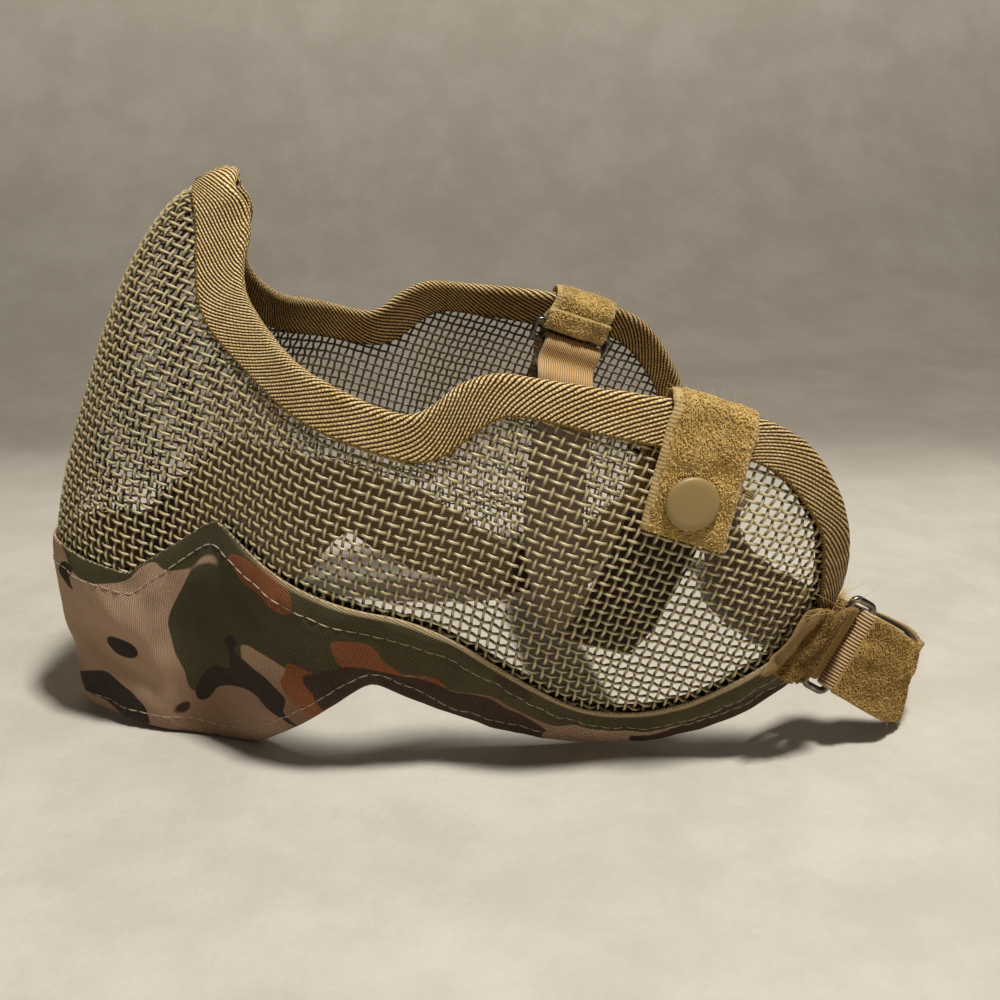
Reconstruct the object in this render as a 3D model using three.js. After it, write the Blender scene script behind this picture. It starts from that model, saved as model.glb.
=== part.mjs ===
import * as THREE from 'three';
import { mergeVertices } from 'three/addons/utils/BufferGeometryUtils.js';

/*
 * Half-face mesh mask, standing on the lower edge of its cloth as it rests by itself.
 * Millimetres, +Z up, the nose towards -Y, the wearer's left side towards +X.
 *
 * The wall is one formed surface, the same on both sides of the nose ridge. A place on it is given
 * by two lengths: arc, measured along a weft wire from the ridge (positive on the wearer's left),
 * and height, measured along the worn upright. At rest the worn upright leans back by LEAN.
 */

// ---------------------------------------------------------------- driving dimensions

const LEAN = THREE.MathUtils.degToRad(20);

// Heading of the wall in plan, in degrees from straight back, at five worn heights.
const LEVELS = { chin: 5, jaw: 45, mouth: 80, cheek: 115, brow: 148 };
const HEADINGS = [
  { arc: 0, chin: 90, jaw: 90, mouth: 90, cheek: 90, brow: 90 },
  { arc: 6, chin: 52, jaw: 67, mouth: 75, cheek: 78, brow: 78 },
  { arc: 14, chin: 40, jaw: 52, mouth: 60, cheek: 46, brow: 4 },
  { arc: 26, chin: 28, jaw: 28, mouth: 31, cheek: 25, brow: 12 },
  { arc: 40, chin: 20, jaw: 19, mouth: 25, cheek: 31, brow: 40 },
  { arc: 54, chin: 19, jaw: 35, mouth: 42, cheek: 54, brow: 78 },
  { arc: 68, chin: 21, jaw: 46, mouth: 51, cheek: 56, brow: 75 },
  { arc: 82, chin: 10, jaw: 27, mouth: 35, cheek: 36, brow: 36 },
  { arc: 96, chin: -9, jaw: 1, mouth: 12, cheek: 10, brow: 2 },
  { arc: 112, chin: -21, jaw: -9, mouth: -1, cheek: 7, brow: 9 },
  { arc: 128, chin: -21, jaw: 0, mouth: 22, cheek: 21, brow: 12 },
  { arc: 144, chin: -12, jaw: -1, mouth: 3, cheek: 6, brow: 8 },
  { arc: 164, chin: -6, jaw: -4, mouth: -6, cheek: 1, brow: 5 },
  { arc: 184, chin: -9, jaw: -3, mouth: 2, cheek: -3, brow: -5 },
  { arc: 200, chin: -23, jaw: -20, mouth: -18, cheek: -21, brow: -28 },
  { arc: 216, chin: -43, jaw: -45, mouth: -49, cheek: -56, brow: -62 },
  { arc: 232, chin: -60, jaw: -62, mouth: -66, cheek: -74, brow: -80 },
];

// The ridge down the middle of the nose and chin: how far back it lies at each worn height.
const RIDGE = [
  { height: 0, back: 0 },
  { height: 16, back: -8 },
  { height: 30, back: -14.5 },
  { height: 42, back: -19.5 },
  { height: 58, back: -22.3 },
  { height: 80, back: -23.2 },
  { height: 100, back: -22.8 },
  { height: 118, back: -21 },
  { height: 131, back: -17.6 },
  { height: 138.4, back: -13.8 },
  { height: 143, back: -9.6 },
  { height: 145.3, back: -5 },
  { height: 146.3, back: 0 },
];

// The tape folded over the upper and rear edge: its fold, and its hem on the wall.
const TAPE = [
  { foldArc: 0, foldHeight: 146.1, hemArc: 0, hemHeight: 141.6 },
  { foldArc: 15, foldHeight: 144.6, hemArc: 10.5, hemHeight: 138.6 },
  { foldArc: 27, foldHeight: 138, hemArc: 19, hemHeight: 131.6 },
  { foldArc: 34, foldHeight: 128.6, hemArc: 26.2, hemHeight: 122.4 },
  { foldArc: 43, foldHeight: 121.4, hemArc: 36.5, hemHeight: 113 },
  { foldArc: 59, foldHeight: 116.4, hemArc: 55.5, hemHeight: 107 },
  { foldArc: 76, foldHeight: 115.3, hemArc: 76, hemHeight: 104.7 },
  { foldArc: 90.5, foldHeight: 115, hemArc: 92.5, hemHeight: 105.1 },
  { foldArc: 99, foldHeight: 117, hemArc: 105, hemHeight: 107.2 },
  { foldArc: 104, foldHeight: 124.6, hemArc: 111.8, hemHeight: 115.8 },
  { foldArc: 111, foldHeight: 130.2, hemArc: 117, hemHeight: 121.8 },
  { foldArc: 125, foldHeight: 133.2, hemArc: 128.5, hemHeight: 124.1 },
  { foldArc: 151, foldHeight: 138.2, hemArc: 152, hemHeight: 127 },
  { foldArc: 168, foldHeight: 139.6, hemArc: 166, hemHeight: 129.5 },
  { foldArc: 184, foldHeight: 136.5, hemArc: 179, hemHeight: 128.8 },
  { foldArc: 198.2, foldHeight: 127, hemArc: 191.2, hemHeight: 122 },
  { foldArc: 204, foldHeight: 121.3, hemArc: 196.8, hemHeight: 117.2 },
  { foldArc: 214.4, foldHeight: 108.4, hemArc: 203.8, hemHeight: 106 },
  { foldArc: 217.6, foldHeight: 94.2, hemArc: 208.2, hemHeight: 95.2 },
];

// The camouflage cloth round the chin and along the jaw: its upper hem and its folded lower edge.
const CLOTH = [
  { topArc: 0, topHeight: 45, foldArc: 0, foldHeight: 1.6 },
  { topArc: 28, topHeight: 47.7, foldArc: 30, foldHeight: 7.2 },
  { topArc: 35, topHeight: 50.6, foldArc: 38, foldHeight: 9.2 },
  { topArc: 44, topHeight: 60, foldArc: 46.5, foldHeight: 11.3 },
  { topArc: 50, topHeight: 66.4, foldArc: 51.5, foldHeight: 12.5 },
  { topArc: 55.5, topHeight: 71.4, foldArc: 57, foldHeight: 14 },
  { topArc: 62, topHeight: 71.2, foldArc: 64, foldHeight: 17.4 },
  { topArc: 80, topHeight: 68.3, foldArc: 81, foldHeight: 30 },
  { topArc: 96, topHeight: 67.8, foldArc: 96.5, foldHeight: 43 },
  { topArc: 104, topHeight: 68.3, foldArc: 104, foldHeight: 46.8 },
  { topArc: 112, topHeight: 68.2, foldArc: 111, foldHeight: 46.2 },
  { topArc: 131, topHeight: 64.8, foldArc: 131, foldHeight: 43.3 },
  { topArc: 151, topHeight: 58.4, foldArc: 153, foldHeight: 44 },
  { topArc: 162, topHeight: 57.6, foldArc: 165, foldHeight: 47 },
  { topArc: 172, topHeight: 60, foldArc: 177, foldHeight: 51.5 },
  { topArc: 180, topHeight: 64.6, foldArc: 188, foldHeight: 58.2 },
  { topArc: 186.5, topHeight: 70.2, foldArc: 196, foldHeight: 65 },
  { topArc: 198.5, topHeight: 83.4, foldArc: 211, foldHeight: 77.6 },
  { topArc: 203, topHeight: 89, foldArc: 216, foldHeight: 84 },
  { topArc: 205.6, topHeight: 93, foldArc: 217.6, foldHeight: 92 },
];

// The wall, how far it stays inside the two folds, and where it ends behind the ears.
const MESH = { thickness: 1.3, edgeInset: 3.2, hemInset: 3.4, endArc: 214.8 };

// Longest steps of the surfaces along the arc: the wall's grow away from the ridge.
const SHELL_STEP = { shortest: 2, growth: 0.13, longest: 7.4 };
const STEP = { ridge: 3, cheek: 8.5 };

// Each fold is one ply on both faces of the wall, clear of it by the thread's give.
const TAPE_PLY = { thickness: 1.1, clearance: 0.95 };
const CLOTH_PLY = { thickness: 1, clearance: 0.85 };

// The fastening straps: loop-pile tabs, wire rings and elastic webbing.
const TAB = { width: 20.5, thickness: 1.3, endHeight: 108.8, ringHeight: 130.5, returned: 5 };
const TAB_PLACES = {
  left: { topArc: 158, endArc: 164.5 },
  right: { topArc: 159.4, endArc: 165.9 },
};
const SNAP = { radius: 6.2, height: 1.9, rim: 0.5, baseRadius: 5, baseHeight: 1.2 };
const SNAP_PLACE = { arc: 162.3, height: 117.6 };
const RING = { wire: 1.8, inside: 23, gap: 6.4, corner: 1.6 };
const ELASTIC = { thickness: 1.5, width: 20, tail: 9, tailLean: 0.13, straight: 5 };
const LOWER_ELASTIC = { thickness: 1.5, width: 21.6, sewn: 11, gather: 1.8, straight: 3 };
const PATCH = { thickness: 1.3, width: LOWER_ELASTIC.width, start: 4, length: 46, lift: 0.45 };

// Gaps between pieces that touch: round a ring's wire, over the tape, over its fold, under a snap.
const FIT = 0.5;
const SEAT = 0.85;
const FOLD_SEAT = 0.8;
const SNAP_SEAT = 0.5;

// Points on a turn round a bar, and along each strap.
const TURN_POINTS = 7;
const RUN_POINTS = { upper: 25, lower: 37 };

// The rear corner where the lower tab is sewn, and the ring's bar and drop directions there.
const LOWER_CORNER = { arc: 215, height: 91, barBehind: 4.8, barOutside: 3.4 };
const LOWER_RING = { barX: -0.09, barY: 0.53, barZ: 0.84, dropX: 0, dropY: 0.82, dropZ: -0.57 };
const LOWER_TAB_OUTSIDE = [
  { highArc: 202, highHeight: 102.5, lowArc: 196.5, lowHeight: 80, outward: 4.4 },
  { highArc: 205, highHeight: 102.5, lowArc: 200, lowHeight: 81, outward: 4.8 },
  { highArc: 209, highHeight: 102, lowArc: 205.5, lowHeight: 81.5, outward: 5.4 },
];
const LOWER_TAB_INSIDE = [
  { arc: 219.8, height: 91, outward: -2.8 },
  { arc: 215, height: 91.5, outward: -5.1 },
  { arc: 208, height: 91.5, outward: -5.1 },
];

// Middle of the upper elastic from the right ring to the left, hanging inside the mask.
const UPPER_RUN = [
  { x: -56.5, y: 144.5, z: 66 },
  { x: -52.5, y: 141, z: 53 },
  { x: -43, y: 137, z: 39 },
  { x: -27, y: 133.5, z: 27.5 },
  { x: -6, y: 131.5, z: 19.5 },
  { x: 15, y: 131, z: 16.5 },
  { x: 32, y: 132.5, z: 20.5 },
  { x: 43, y: 135.5, z: 31 },
  { x: 50, y: 139.5, z: 44.5 },
  { x: 55.5, y: 143.5, z: 59 },
];

// Middle of the lower elastic between its rings, and the lean of its width.
const LOWER_RUN = [
  { x: 59.3, y: 198.5, z: 20.6, acrossX: -0.14, acrossY: 0.52, acrossZ: 0.84 },
  { x: 57, y: 205, z: 15.8, acrossX: -0.2, acrossY: 0.44, acrossZ: 0.87 },
  { x: 51.5, y: 210, z: 12.8, acrossX: -0.22, acrossY: 0.34, acrossZ: 0.91 },
  { x: 43, y: 212.2, z: 11.8, acrossX: -0.2, acrossY: 0.28, acrossZ: 0.94 },
  { x: 34, y: 209.8, z: 11.6, acrossX: -0.14, acrossY: 0.32, acrossZ: 0.94 },
  { x: 18, y: 202.5, z: 11.6, acrossX: -0.06, acrossY: 0.36, acrossZ: 0.93 },
  { x: -1, y: 194.5, z: 11.6, acrossX: 0, acrossY: 0.36, acrossZ: 0.93 },
  { x: -20, y: 190, z: 12.4, acrossX: 0.02, acrossY: 0.38, acrossZ: 0.92 },
  { x: -37, y: 190, z: 15, acrossX: 0.05, acrossY: 0.42, acrossZ: 0.9 },
  { x: -50, y: 194, z: 19.6, acrossX: 0.1, acrossY: 0.48, acrossZ: 0.87 },
];

// ---------------------------------------------------------------- curves

// Natural cubic spline through (xs, ys), as a function of x.
function naturalSpline(xs, ys) {
  const last = xs.length - 1;
  const bend = new Array(last + 1).fill(0);
  const ratio = new Array(last + 1).fill(0);
  for (let i = 1; i < last; i += 1) {
    const before = xs[i] - xs[i - 1];
    const after = xs[i + 1] - xs[i];
    const jump = (ys[i + 1] - ys[i]) / after - (ys[i] - ys[i - 1]) / before;
    const pivot = 2 * (before + after) - before * ratio[i - 1];
    ratio[i] = after / pivot;
    bend[i] = (6 * jump - before * bend[i - 1]) / pivot;
  }
  for (let i = last - 1; i > 0; i -= 1) bend[i] -= ratio[i] * bend[i + 1];
  return (x) => {
    let i = 0;
    while (i < last - 1 && x > xs[i + 1]) i += 1;
    const step = xs[i + 1] - xs[i];
    const a = (xs[i + 1] - x) / step;
    const b = 1 - a;
    const curve = (a ** 3 - a) * bend[i] + (b ** 3 - b) * bend[i + 1];
    return a * ys[i] + b * ys[i + 1] + (curve * step * step) / 6;
  };
}

// A table of rows becomes one function of the row number for each named column.
function tableCurves(rows) {
  const index = rows.map((_, i) => i);
  const column = (name) => naturalSpline(index, rows.map((row) => row[name]));
  return Object.fromEntries(Object.keys(rows[0]).map((name) => [name, column(name)]));
}

// ---------------------------------------------------------------- the formed wall

const levelHeights = Object.values(LEVELS);
const levelWeights = levelHeights.map((own) => (
  naturalSpline(levelHeights, levelHeights.map((height) => (height === own ? 1 : 0)))
));
const headingArcs = HEADINGS.map((row) => row.arc);
const longestArc = headingArcs.at(-1);
const ridgeBack = naturalSpline(RIDGE.map((row) => row.height), RIDGE.map((row) => row.back));

// Headings at every millimetre of arc, one list for each level.
const headingLists = Object.keys(LEVELS).map((level) => {
  const heading = naturalSpline(headingArcs, HEADINGS.map((row) => row[level]));
  return Array.from({ length: longestArc + 1 }, (_, mm) => heading(mm));
});

// Plan line of the wall at one worn height: the headings walked a millimetre at a time.
const planLines = new Map();
function planLine(height) {
  if (!planLines.has(height)) {
    const weights = levelWeights.map((weight) => weight(height));
    const line = [{ side: 0, back: ridgeBack(height) }];
    let before = null;
    for (let mm = 0; mm <= longestArc; mm += 1) {
      const degrees = weights.reduce((sum, weight, level) => sum + weight * headingLists[level][mm], 0);
      const heading = THREE.MathUtils.degToRad(degrees);
      if (before !== null) {
        const last = line.at(-1);
        line.push({
          side: last.side + (Math.sin(before) + Math.sin(heading)) / 2,
          back: last.back + (Math.cos(before) + Math.cos(heading)) / 2,
        });
      }
      before = heading;
    }
    planLines.set(height, line);
  }
  return planLines.get(height);
}

// Point on the middle surface of the wall.
function midPoint(arc, height) {
  const line = planLine(height);
  const along = Math.min(Math.abs(arc), longestArc - 0.001);
  const mm = Math.floor(along);
  const part = along - mm;
  const side = THREE.MathUtils.lerp(line[mm].side, line[mm + 1].side, part) * Math.sign(arc);
  const back = THREE.MathUtils.lerp(line[mm].back, line[mm + 1].back, part);
  const y = back * Math.cos(LEAN) + height * Math.sin(LEAN);
  const z = height * Math.cos(LEAN) - back * Math.sin(LEAN);
  return new THREE.Vector3(side, y, z);
}

// Unit vectors of the wall at a place: along the weft, up the warp, and outward.
function wallFrame(arc, height) {
  const reach = 1;
  const along = midPoint(arc + reach, height).sub(midPoint(arc - reach, height)).normalize();
  const up = midPoint(arc, height + reach / 2).sub(midPoint(arc, height - reach / 2)).normalize();
  const out = new THREE.Vector3().crossVectors(along, up).normalize();
  return { along, up: new THREE.Vector3().crossVectors(out, along), out };
}

// Point at a distance outward (or, negative, inward) from the middle surface.
function wallPoint(arc, height, outward) {
  return midPoint(arc, height).addScaledVector(wallFrame(arc, height).out, outward);
}

// ---------------------------------------------------------------- closed bodies

// Closed body between two grids of points: front faces out, back lies behind it, a rim joins them.
function sheetBody(front, back) {
  const rows = front.length;
  const columns = front[0].length;
  const points = [...front.flat(), ...back.flat()];
  const frontAt = (i, j) => i * columns + j;
  const backAt = (i, j) => rows * columns + i * columns + j;
  const faces = [];
  const quad = (a, b, c, d) => faces.push(a, b, c, a, c, d);
  for (let i = 0; i + 1 < rows; i += 1) {
    for (let j = 0; j + 1 < columns; j += 1) {
      quad(frontAt(i, j), frontAt(i + 1, j), frontAt(i + 1, j + 1), frontAt(i, j + 1));
      quad(backAt(i, j), backAt(i, j + 1), backAt(i + 1, j + 1), backAt(i + 1, j));
    }
    quad(backAt(i, 0), backAt(i + 1, 0), frontAt(i + 1, 0), frontAt(i, 0));
    const end = columns - 1;
    quad(frontAt(i, end), frontAt(i + 1, end), backAt(i + 1, end), backAt(i, end));
  }
  for (let j = 0; j + 1 < columns; j += 1) {
    quad(frontAt(0, j), frontAt(0, j + 1), backAt(0, j + 1), backAt(0, j));
    quad(backAt(rows - 1, j), backAt(rows - 1, j + 1), frontAt(rows - 1, j + 1), frontAt(rows - 1, j));
  }
  const geometry = new THREE.BufferGeometry().setFromPoints(points);
  geometry.setIndex(faces);
  return geometry;
}

// Webbing laid along a row of stations, each with its middle, its width direction and a face direction.
function webbingBody(stations, width, thickness) {
  const corner = (station, side, layer) => station.middle.clone()
    .addScaledVector(station.across, (side * width) / 2)
    .addScaledVector(station.face, (layer * thickness) / 2);
  const layerRow = (station, layer) => [-1, 0, 1].map((side) => corner(station, side, layer));
  const layerGrid = (layer) => stations.map((station) => layerRow(station, layer));
  return sheetBody(layerGrid(1), layerGrid(-1));
}

// Stations along a path: the face direction follows from the run and the width direction.
function pathStations(middles, acrosses) {
  return middles.map((middle, i) => {
    const before = middles[Math.max(i - 1, 0)];
    const after = middles[Math.min(i + 1, middles.length - 1)];
    const run = after.clone().sub(before).normalize();
    const face = new THREE.Vector3().crossVectors(run, acrosses[i]).normalize();
    return { middle, across: acrosses[i], face };
  });
}

// Points on a round turn about a bar: centre, two unit directions, radius, and start and end angle.
function turnPoints(centre, first, second, radius, from, to, count) {
  return Array.from({ length: count }, (_, i) => {
    const angle = THREE.MathUtils.degToRad(THREE.MathUtils.lerp(from, to, i / (count - 1)));
    return centre.clone()
      .addScaledVector(first, radius * Math.cos(angle))
      .addScaledVector(second, radius * Math.sin(angle));
  });
}

// Points resampled evenly along a smooth curve.
function smoothRun(points, count) {
  return new THREE.CatmullRomCurve3(points, false, 'centripetal').getSpacedPoints(count - 1);
}

const mirrored = (point) => new THREE.Vector3(-point.x, point.y, point.z);

// ---------------------------------------------------------------- folded tape and cloth

const tapeOuter = MESH.thickness / 2 + TAPE_PLY.clearance + TAPE_PLY.thickness;

// Both faces of a doubled strip that is folded over an edge of the wall.
// place(row, part) gives arc and height on the wall, part running from the hem (0) to the fold (1).
function foldedStrip(numbers, layParts, place, ply) {
  const inner = MESH.thickness / 2 + ply.clearance;
  const outer = inner + ply.thickness;
  const foldTurns = [0, 60, 120, 180];
  const strips = { front: [], back: [] };
  for (const { row, side } of numbers) {
    const at = (part, outward) => {
      const spot = place(row, part);
      return wallPoint(side * spot.arc, spot.height, outward);
    };
    const hem = at(0, 0);
    const edge = at(1, 0);
    const span = edge.distanceTo(hem);
    for (const [name, offset] of [['front', outer], ['back', inner]]) {
      const foldStart = 1 - outer / span;
      const turns = foldTurns.map((degrees) => {
        const angle = THREE.MathUtils.degToRad(degrees);
        return at(foldStart + (offset * Math.sin(angle)) / span, offset * Math.cos(angle));
      });
      const outside = layParts.map((part) => at(part * foldStart, offset));
      const inside = layParts.map((part) => at(part * foldStart, -offset)).reverse();
      strips[name].push([...outside, ...turns, ...inside]);
    }
  }
  return strips;
}

// Row numbers of a table, whole and between, no farther apart along the fold than the steps allow.
function rowNumbers(rows, curve) {
  const numbers = [];
  for (let row = 0; row + 1 < rows.length; row += 1) {
    const run = curve.foldArc(row + 1) - curve.foldArc(row);
    const rise = curve.foldHeight(row + 1) - curve.foldHeight(row);
    const limit = row === 0 ? STEP.ridge : STEP.cheek;
    const count = Math.ceil(Math.hypot(run, rise) / limit);
    for (let i = 0; i < count; i += 1) numbers.push(row + i / count);
  }
  return [...numbers, rows.length - 1];
}

// Row numbers up one side of a table and down the other, with the middle row only once.
function bothSides(rows, curve) {
  const numbers = rowNumbers(rows, curve);
  const right = numbers.slice(1).reverse().map((row) => ({ row, side: -1 }));
  return [...right, ...numbers.map((row) => ({ row, side: 1 }))];
}

function tapeGeometry() {
  const curve = tableCurves(TAPE);
  const place = (row, part) => ({
    arc: THREE.MathUtils.lerp(curve.hemArc(row), curve.foldArc(row), part),
    height: THREE.MathUtils.lerp(curve.hemHeight(row), curve.foldHeight(row), part),
  });
  const strips = foldedStrip(bothSides(TAPE, curve), [0, 0.5], place, TAPE_PLY);
  return sheetBody(strips.front, strips.back);
}

function clothGeometry() {
  const curve = tableCurves(CLOTH);
  const place = (row, part) => ({
    arc: THREE.MathUtils.lerp(curve.topArc(row), curve.foldArc(row), part),
    height: THREE.MathUtils.lerp(curve.topHeight(row), curve.foldHeight(row), part),
  });
  const strips = foldedStrip(bothSides(CLOTH, curve), [0, 0.3, 0.64], place, CLOTH_PLY);
  return sheetBody(strips.back, strips.front);
}

// ---------------------------------------------------------------- wire-mesh shell

// Height of an edge of the wall as a function of arc, read off a table's fold columns.
function edgeHeight(rows) {
  const curve = tableCurves(rows);
  const numbers = rowNumbers(rows, curve);
  const arcs = numbers.map(curve.foldArc);
  const heights = numbers.map(curve.foldHeight);
  return (arc) => {
    let i = 0;
    while (i < arcs.length - 2 && arc > arcs[i + 1]) i += 1;
    const part = THREE.MathUtils.clamp((arc - arcs[i]) / (arcs[i + 1] - arcs[i]), 0, 1);
    return THREE.MathUtils.lerp(heights[i], heights[i + 1], part);
  };
}

// Rows of the shell between its lower edge (0) and its upper edge (1), closer where the ridge bends.
const SHELL_ROWS = [0, 0.11, 0.2, 0.28, 0.36, 0.46, 0.59, 0.72, 0.82, 0.9, 0.96, 1];

// Arcs from the ridge to the rear edge, close together round the nose and wider over the cheek.
function shellArcs() {
  const arcs = [0];
  const step = (arc) => Math.min(SHELL_STEP.longest, SHELL_STEP.shortest + SHELL_STEP.growth * arc);
  while (arcs.at(-1) < MESH.endArc) arcs.push(arcs.at(-1) + step(arcs.at(-1)));
  const stretch = MESH.endArc / arcs.at(-1);
  return arcs.map((arc) => arc * stretch);
}

function shellGeometry() {
  const top = edgeHeight(TAPE);
  const bottom = edgeHeight(CLOTH);
  const arcs = shellArcs();
  const all = [...arcs.slice(1).reverse().map((arc) => -arc), ...arcs];
  const grid = (outward) => all.map((arc) => {
    const along = Math.abs(arc);
    const slope = (edge) => Math.hypot(1, (edge(along + 1) - edge(along - 1)) / 2);
    const low = bottom(along) + MESH.hemInset * slope(bottom);
    const high = top(along) - MESH.edgeInset * slope(top);
    return SHELL_ROWS.map((part) => wallPoint(arc, THREE.MathUtils.lerp(low, high, part), outward));
  });
  return sheetBody(grid(MESH.thickness / 2), grid(-MESH.thickness / 2));
}

// ---------------------------------------------------------------- rings

// Closed rectangular ring of round wire, its tube running round a closed path with no ends.
// bar runs along the long sides, and drop from the tab's bar to the strap's bar.
function ringGeometry(tabBar, bar, drop) {
  const halfLong = (RING.inside + RING.wire) / 2;
  const corner = RING.corner;
  const centre = tabBar.clone().addScaledVector(drop, RING.gap / 2);
  const corners = [[-1, -1], [1, -1], [1, 1], [-1, 1]];
  const points = corners.flatMap(([barSide, dropSide], i) => {
    const middle = centre.clone()
      .addScaledVector(bar, barSide * (halfLong - corner))
      .addScaledVector(drop, dropSide * (RING.gap / 2 - corner));
    return turnPoints(middle, bar, drop, corner, 180 + 90 * i, 270 + 90 * i, 3);
  });
  const route = new THREE.CatmullRomCurve3(points, true, 'centripetal');
  return mergeVertices(stripExtras(new THREE.TubeGeometry(route, 32, RING.wire / 2, 6, true)));
}

function stripExtras(geometry) {
  geometry.deleteAttribute('normal');
  geometry.deleteAttribute('uv');
  return geometry;
}

// ---------------------------------------------------------------- upper tab, snap, ring and strap

// Everything at an upper fastening, worked out on the left side, in one local frame of the wall.
function upperFastening(tabPlace) {
  const spot = { arc: tabPlace.topArc, height: TAB.ringHeight };
  const { along, up, out } = wallFrame(spot.arc, spot.height);
  const ply = TAB.thickness / 2;
  const layOff = tapeOuter + SEAT + ply;
  const topHeight = edgeHeight(TAPE)(tabPlace.topArc);
  const { topArc, endArc } = tabPlace;
  const arcAt = (height) => THREE.MathUtils.mapLinear(height, topHeight, TAB.endHeight, topArc, endArc);
  const barRadius = RING.wire / 2;
  const tabTurn = barRadius + FIT + ply;
  const strapTurn = barRadius + FIT + ELASTIC.thickness / 2;
  const tabBar = wallPoint(spot.arc, TAB.ringHeight, -layOff - tabTurn);
  const strapBar = tabBar.clone().addScaledVector(up, -RING.gap);
  const outerLay = [0, 0.25, 0.5, 0.75, 1].map((part) => {
    const height = THREE.MathUtils.lerp(TAB.endHeight, topHeight - tapeOuter, part);
    return wallPoint(arcAt(height), height, layOff);
  });
  const foldCentre = wallPoint(arcAt(topHeight), topHeight - tapeOuter, 0);
  const flatUp = up.clone().multiplyScalar((tapeOuter + FOLD_SEAT + ply) / layOff);
  const fold = turnPoints(foldCentre, out, flatUp, layOff, 30, 150, TURN_POINTS);
  const innerTop = foldCentre.clone().addScaledVector(out, -layOff);
  const innerLow = tabBar.clone().addScaledVector(out, tabTurn).addScaledVector(up, 1);
  const loop = turnPoints(tabBar, out, up, tabTurn, 0, -180, TURN_POINTS);
  const returned = tabBar.clone().addScaledVector(out, -tabTurn).addScaledVector(up, TAB.returned);
  const middles = [...outerLay, ...fold, innerTop, innerLow, ...loop, returned];
  const tab = webbingBody(pathStations(middles, middles.map(() => along)), TAB.width, TAB.thickness);
  const ring = ringGeometry(tabBar, along, up.clone().negate());
  return { along, up, out, tab, strapBar, strapTurn, ring };
}

// Round cap of the snap on the tab, and the plain base that backs it inside the mesh.
function snapGeometry(radius, height, rim) {
  const profile = [
    new THREE.Vector2(0, 0),
    new THREE.Vector2(radius, 0),
    new THREE.Vector2(radius, rim),
    new THREE.Vector2(radius * 0.93, height * 0.62),
    new THREE.Vector2(radius * 0.72, height * 0.86),
    new THREE.Vector2(radius * 0.4, height * 0.97),
    new THREE.Vector2(0, height),
  ];
  const geometry = new THREE.LatheGeometry(profile, 20);
  geometry.rotateX(Math.PI / 2);
  return mergeVertices(stripExtras(geometry));
}

function snapMesh(name, radius, height, rim, outward, direction, side) {
  const { out } = wallFrame(SNAP_PLACE.arc, SNAP_PLACE.height);
  const facing = out.clone().multiplyScalar(direction);
  const seat = wallPoint(SNAP_PLACE.arc, SNAP_PLACE.height, outward);
  if (side < 0) {
    facing.x *= -1;
    seat.x *= -1;
  }
  const mesh = new THREE.Mesh(snapGeometry(radius, height, rim), materials.snap);
  mesh.name = name;
  mesh.position.copy(seat);
  mesh.quaternion.setFromUnitVectors(new THREE.Vector3(0, 0, 1), facing);
  return mesh;
}

// The upper elastic: a tail on the wall side of each ring bar, over the bar, and down through the mask.
function upperStrapStations(left, right) {
  const end = (fastening) => {
    const { strapBar, strapTurn, out, up } = fastening;
    const turn = turnPoints(strapBar, out, up, strapTurn, 0, 180, TURN_POINTS);
    const tail = [ELASTIC.tail, ELASTIC.tail / 2].map((drop) => strapBar.clone()
      .addScaledVector(out, strapTurn - ELASTIC.tailLean * drop)
      .addScaledVector(up, -drop));
    const lead = turn.at(-1).clone().addScaledVector(up, -ELASTIC.straight);
    return [...tail, ...turn, lead];
  };
  const rightEnd = end(right).map(mirrored);
  const leftEnd = end(left).reverse();
  const run = UPPER_RUN.map((row) => new THREE.Vector3(row.x, row.y, row.z));
  const hanging = smoothRun([rightEnd.at(-1), ...run, leftEnd[0]], RUN_POINTS.upper);
  const middles = [...rightEnd.slice(0, -1), ...hanging, ...leftEnd.slice(1)];
  const acrosses = middles.map((_, i) => {
    const part = THREE.MathUtils.clamp((i - rightEnd.length) / (hanging.length - 2), 0, 1);
    return mirrored(right.along).lerp(left.along, part).normalize();
  });
  return pathStations(middles, acrosses);
}

// ---------------------------------------------------------------- lower tab, ring and strap

// The lower ring hangs off the rear corner: its tab bar, measured from a place on the wall's edge.
function lowerFastening() {
  const { along, out } = wallFrame(LOWER_CORNER.arc, LOWER_CORNER.height);
  const corner = midPoint(LOWER_CORNER.arc, LOWER_CORNER.height);
  const tabBar = corner
    .addScaledVector(along, LOWER_CORNER.barBehind)
    .addScaledVector(out, LOWER_CORNER.barOutside);
  const bar = new THREE.Vector3(LOWER_RING.barX, LOWER_RING.barY, LOWER_RING.barZ).normalize();
  const lean = new THREE.Vector3(LOWER_RING.dropX, LOWER_RING.dropY, LOWER_RING.dropZ);
  const drop = lean.addScaledVector(bar, -lean.dot(bar)).normalize();
  const inward = new THREE.Vector3().crossVectors(bar, drop).normalize();
  return { tabBar, bar, drop, inward, strapBar: tabBar.clone().addScaledVector(drop, RING.gap) };
}

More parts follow.
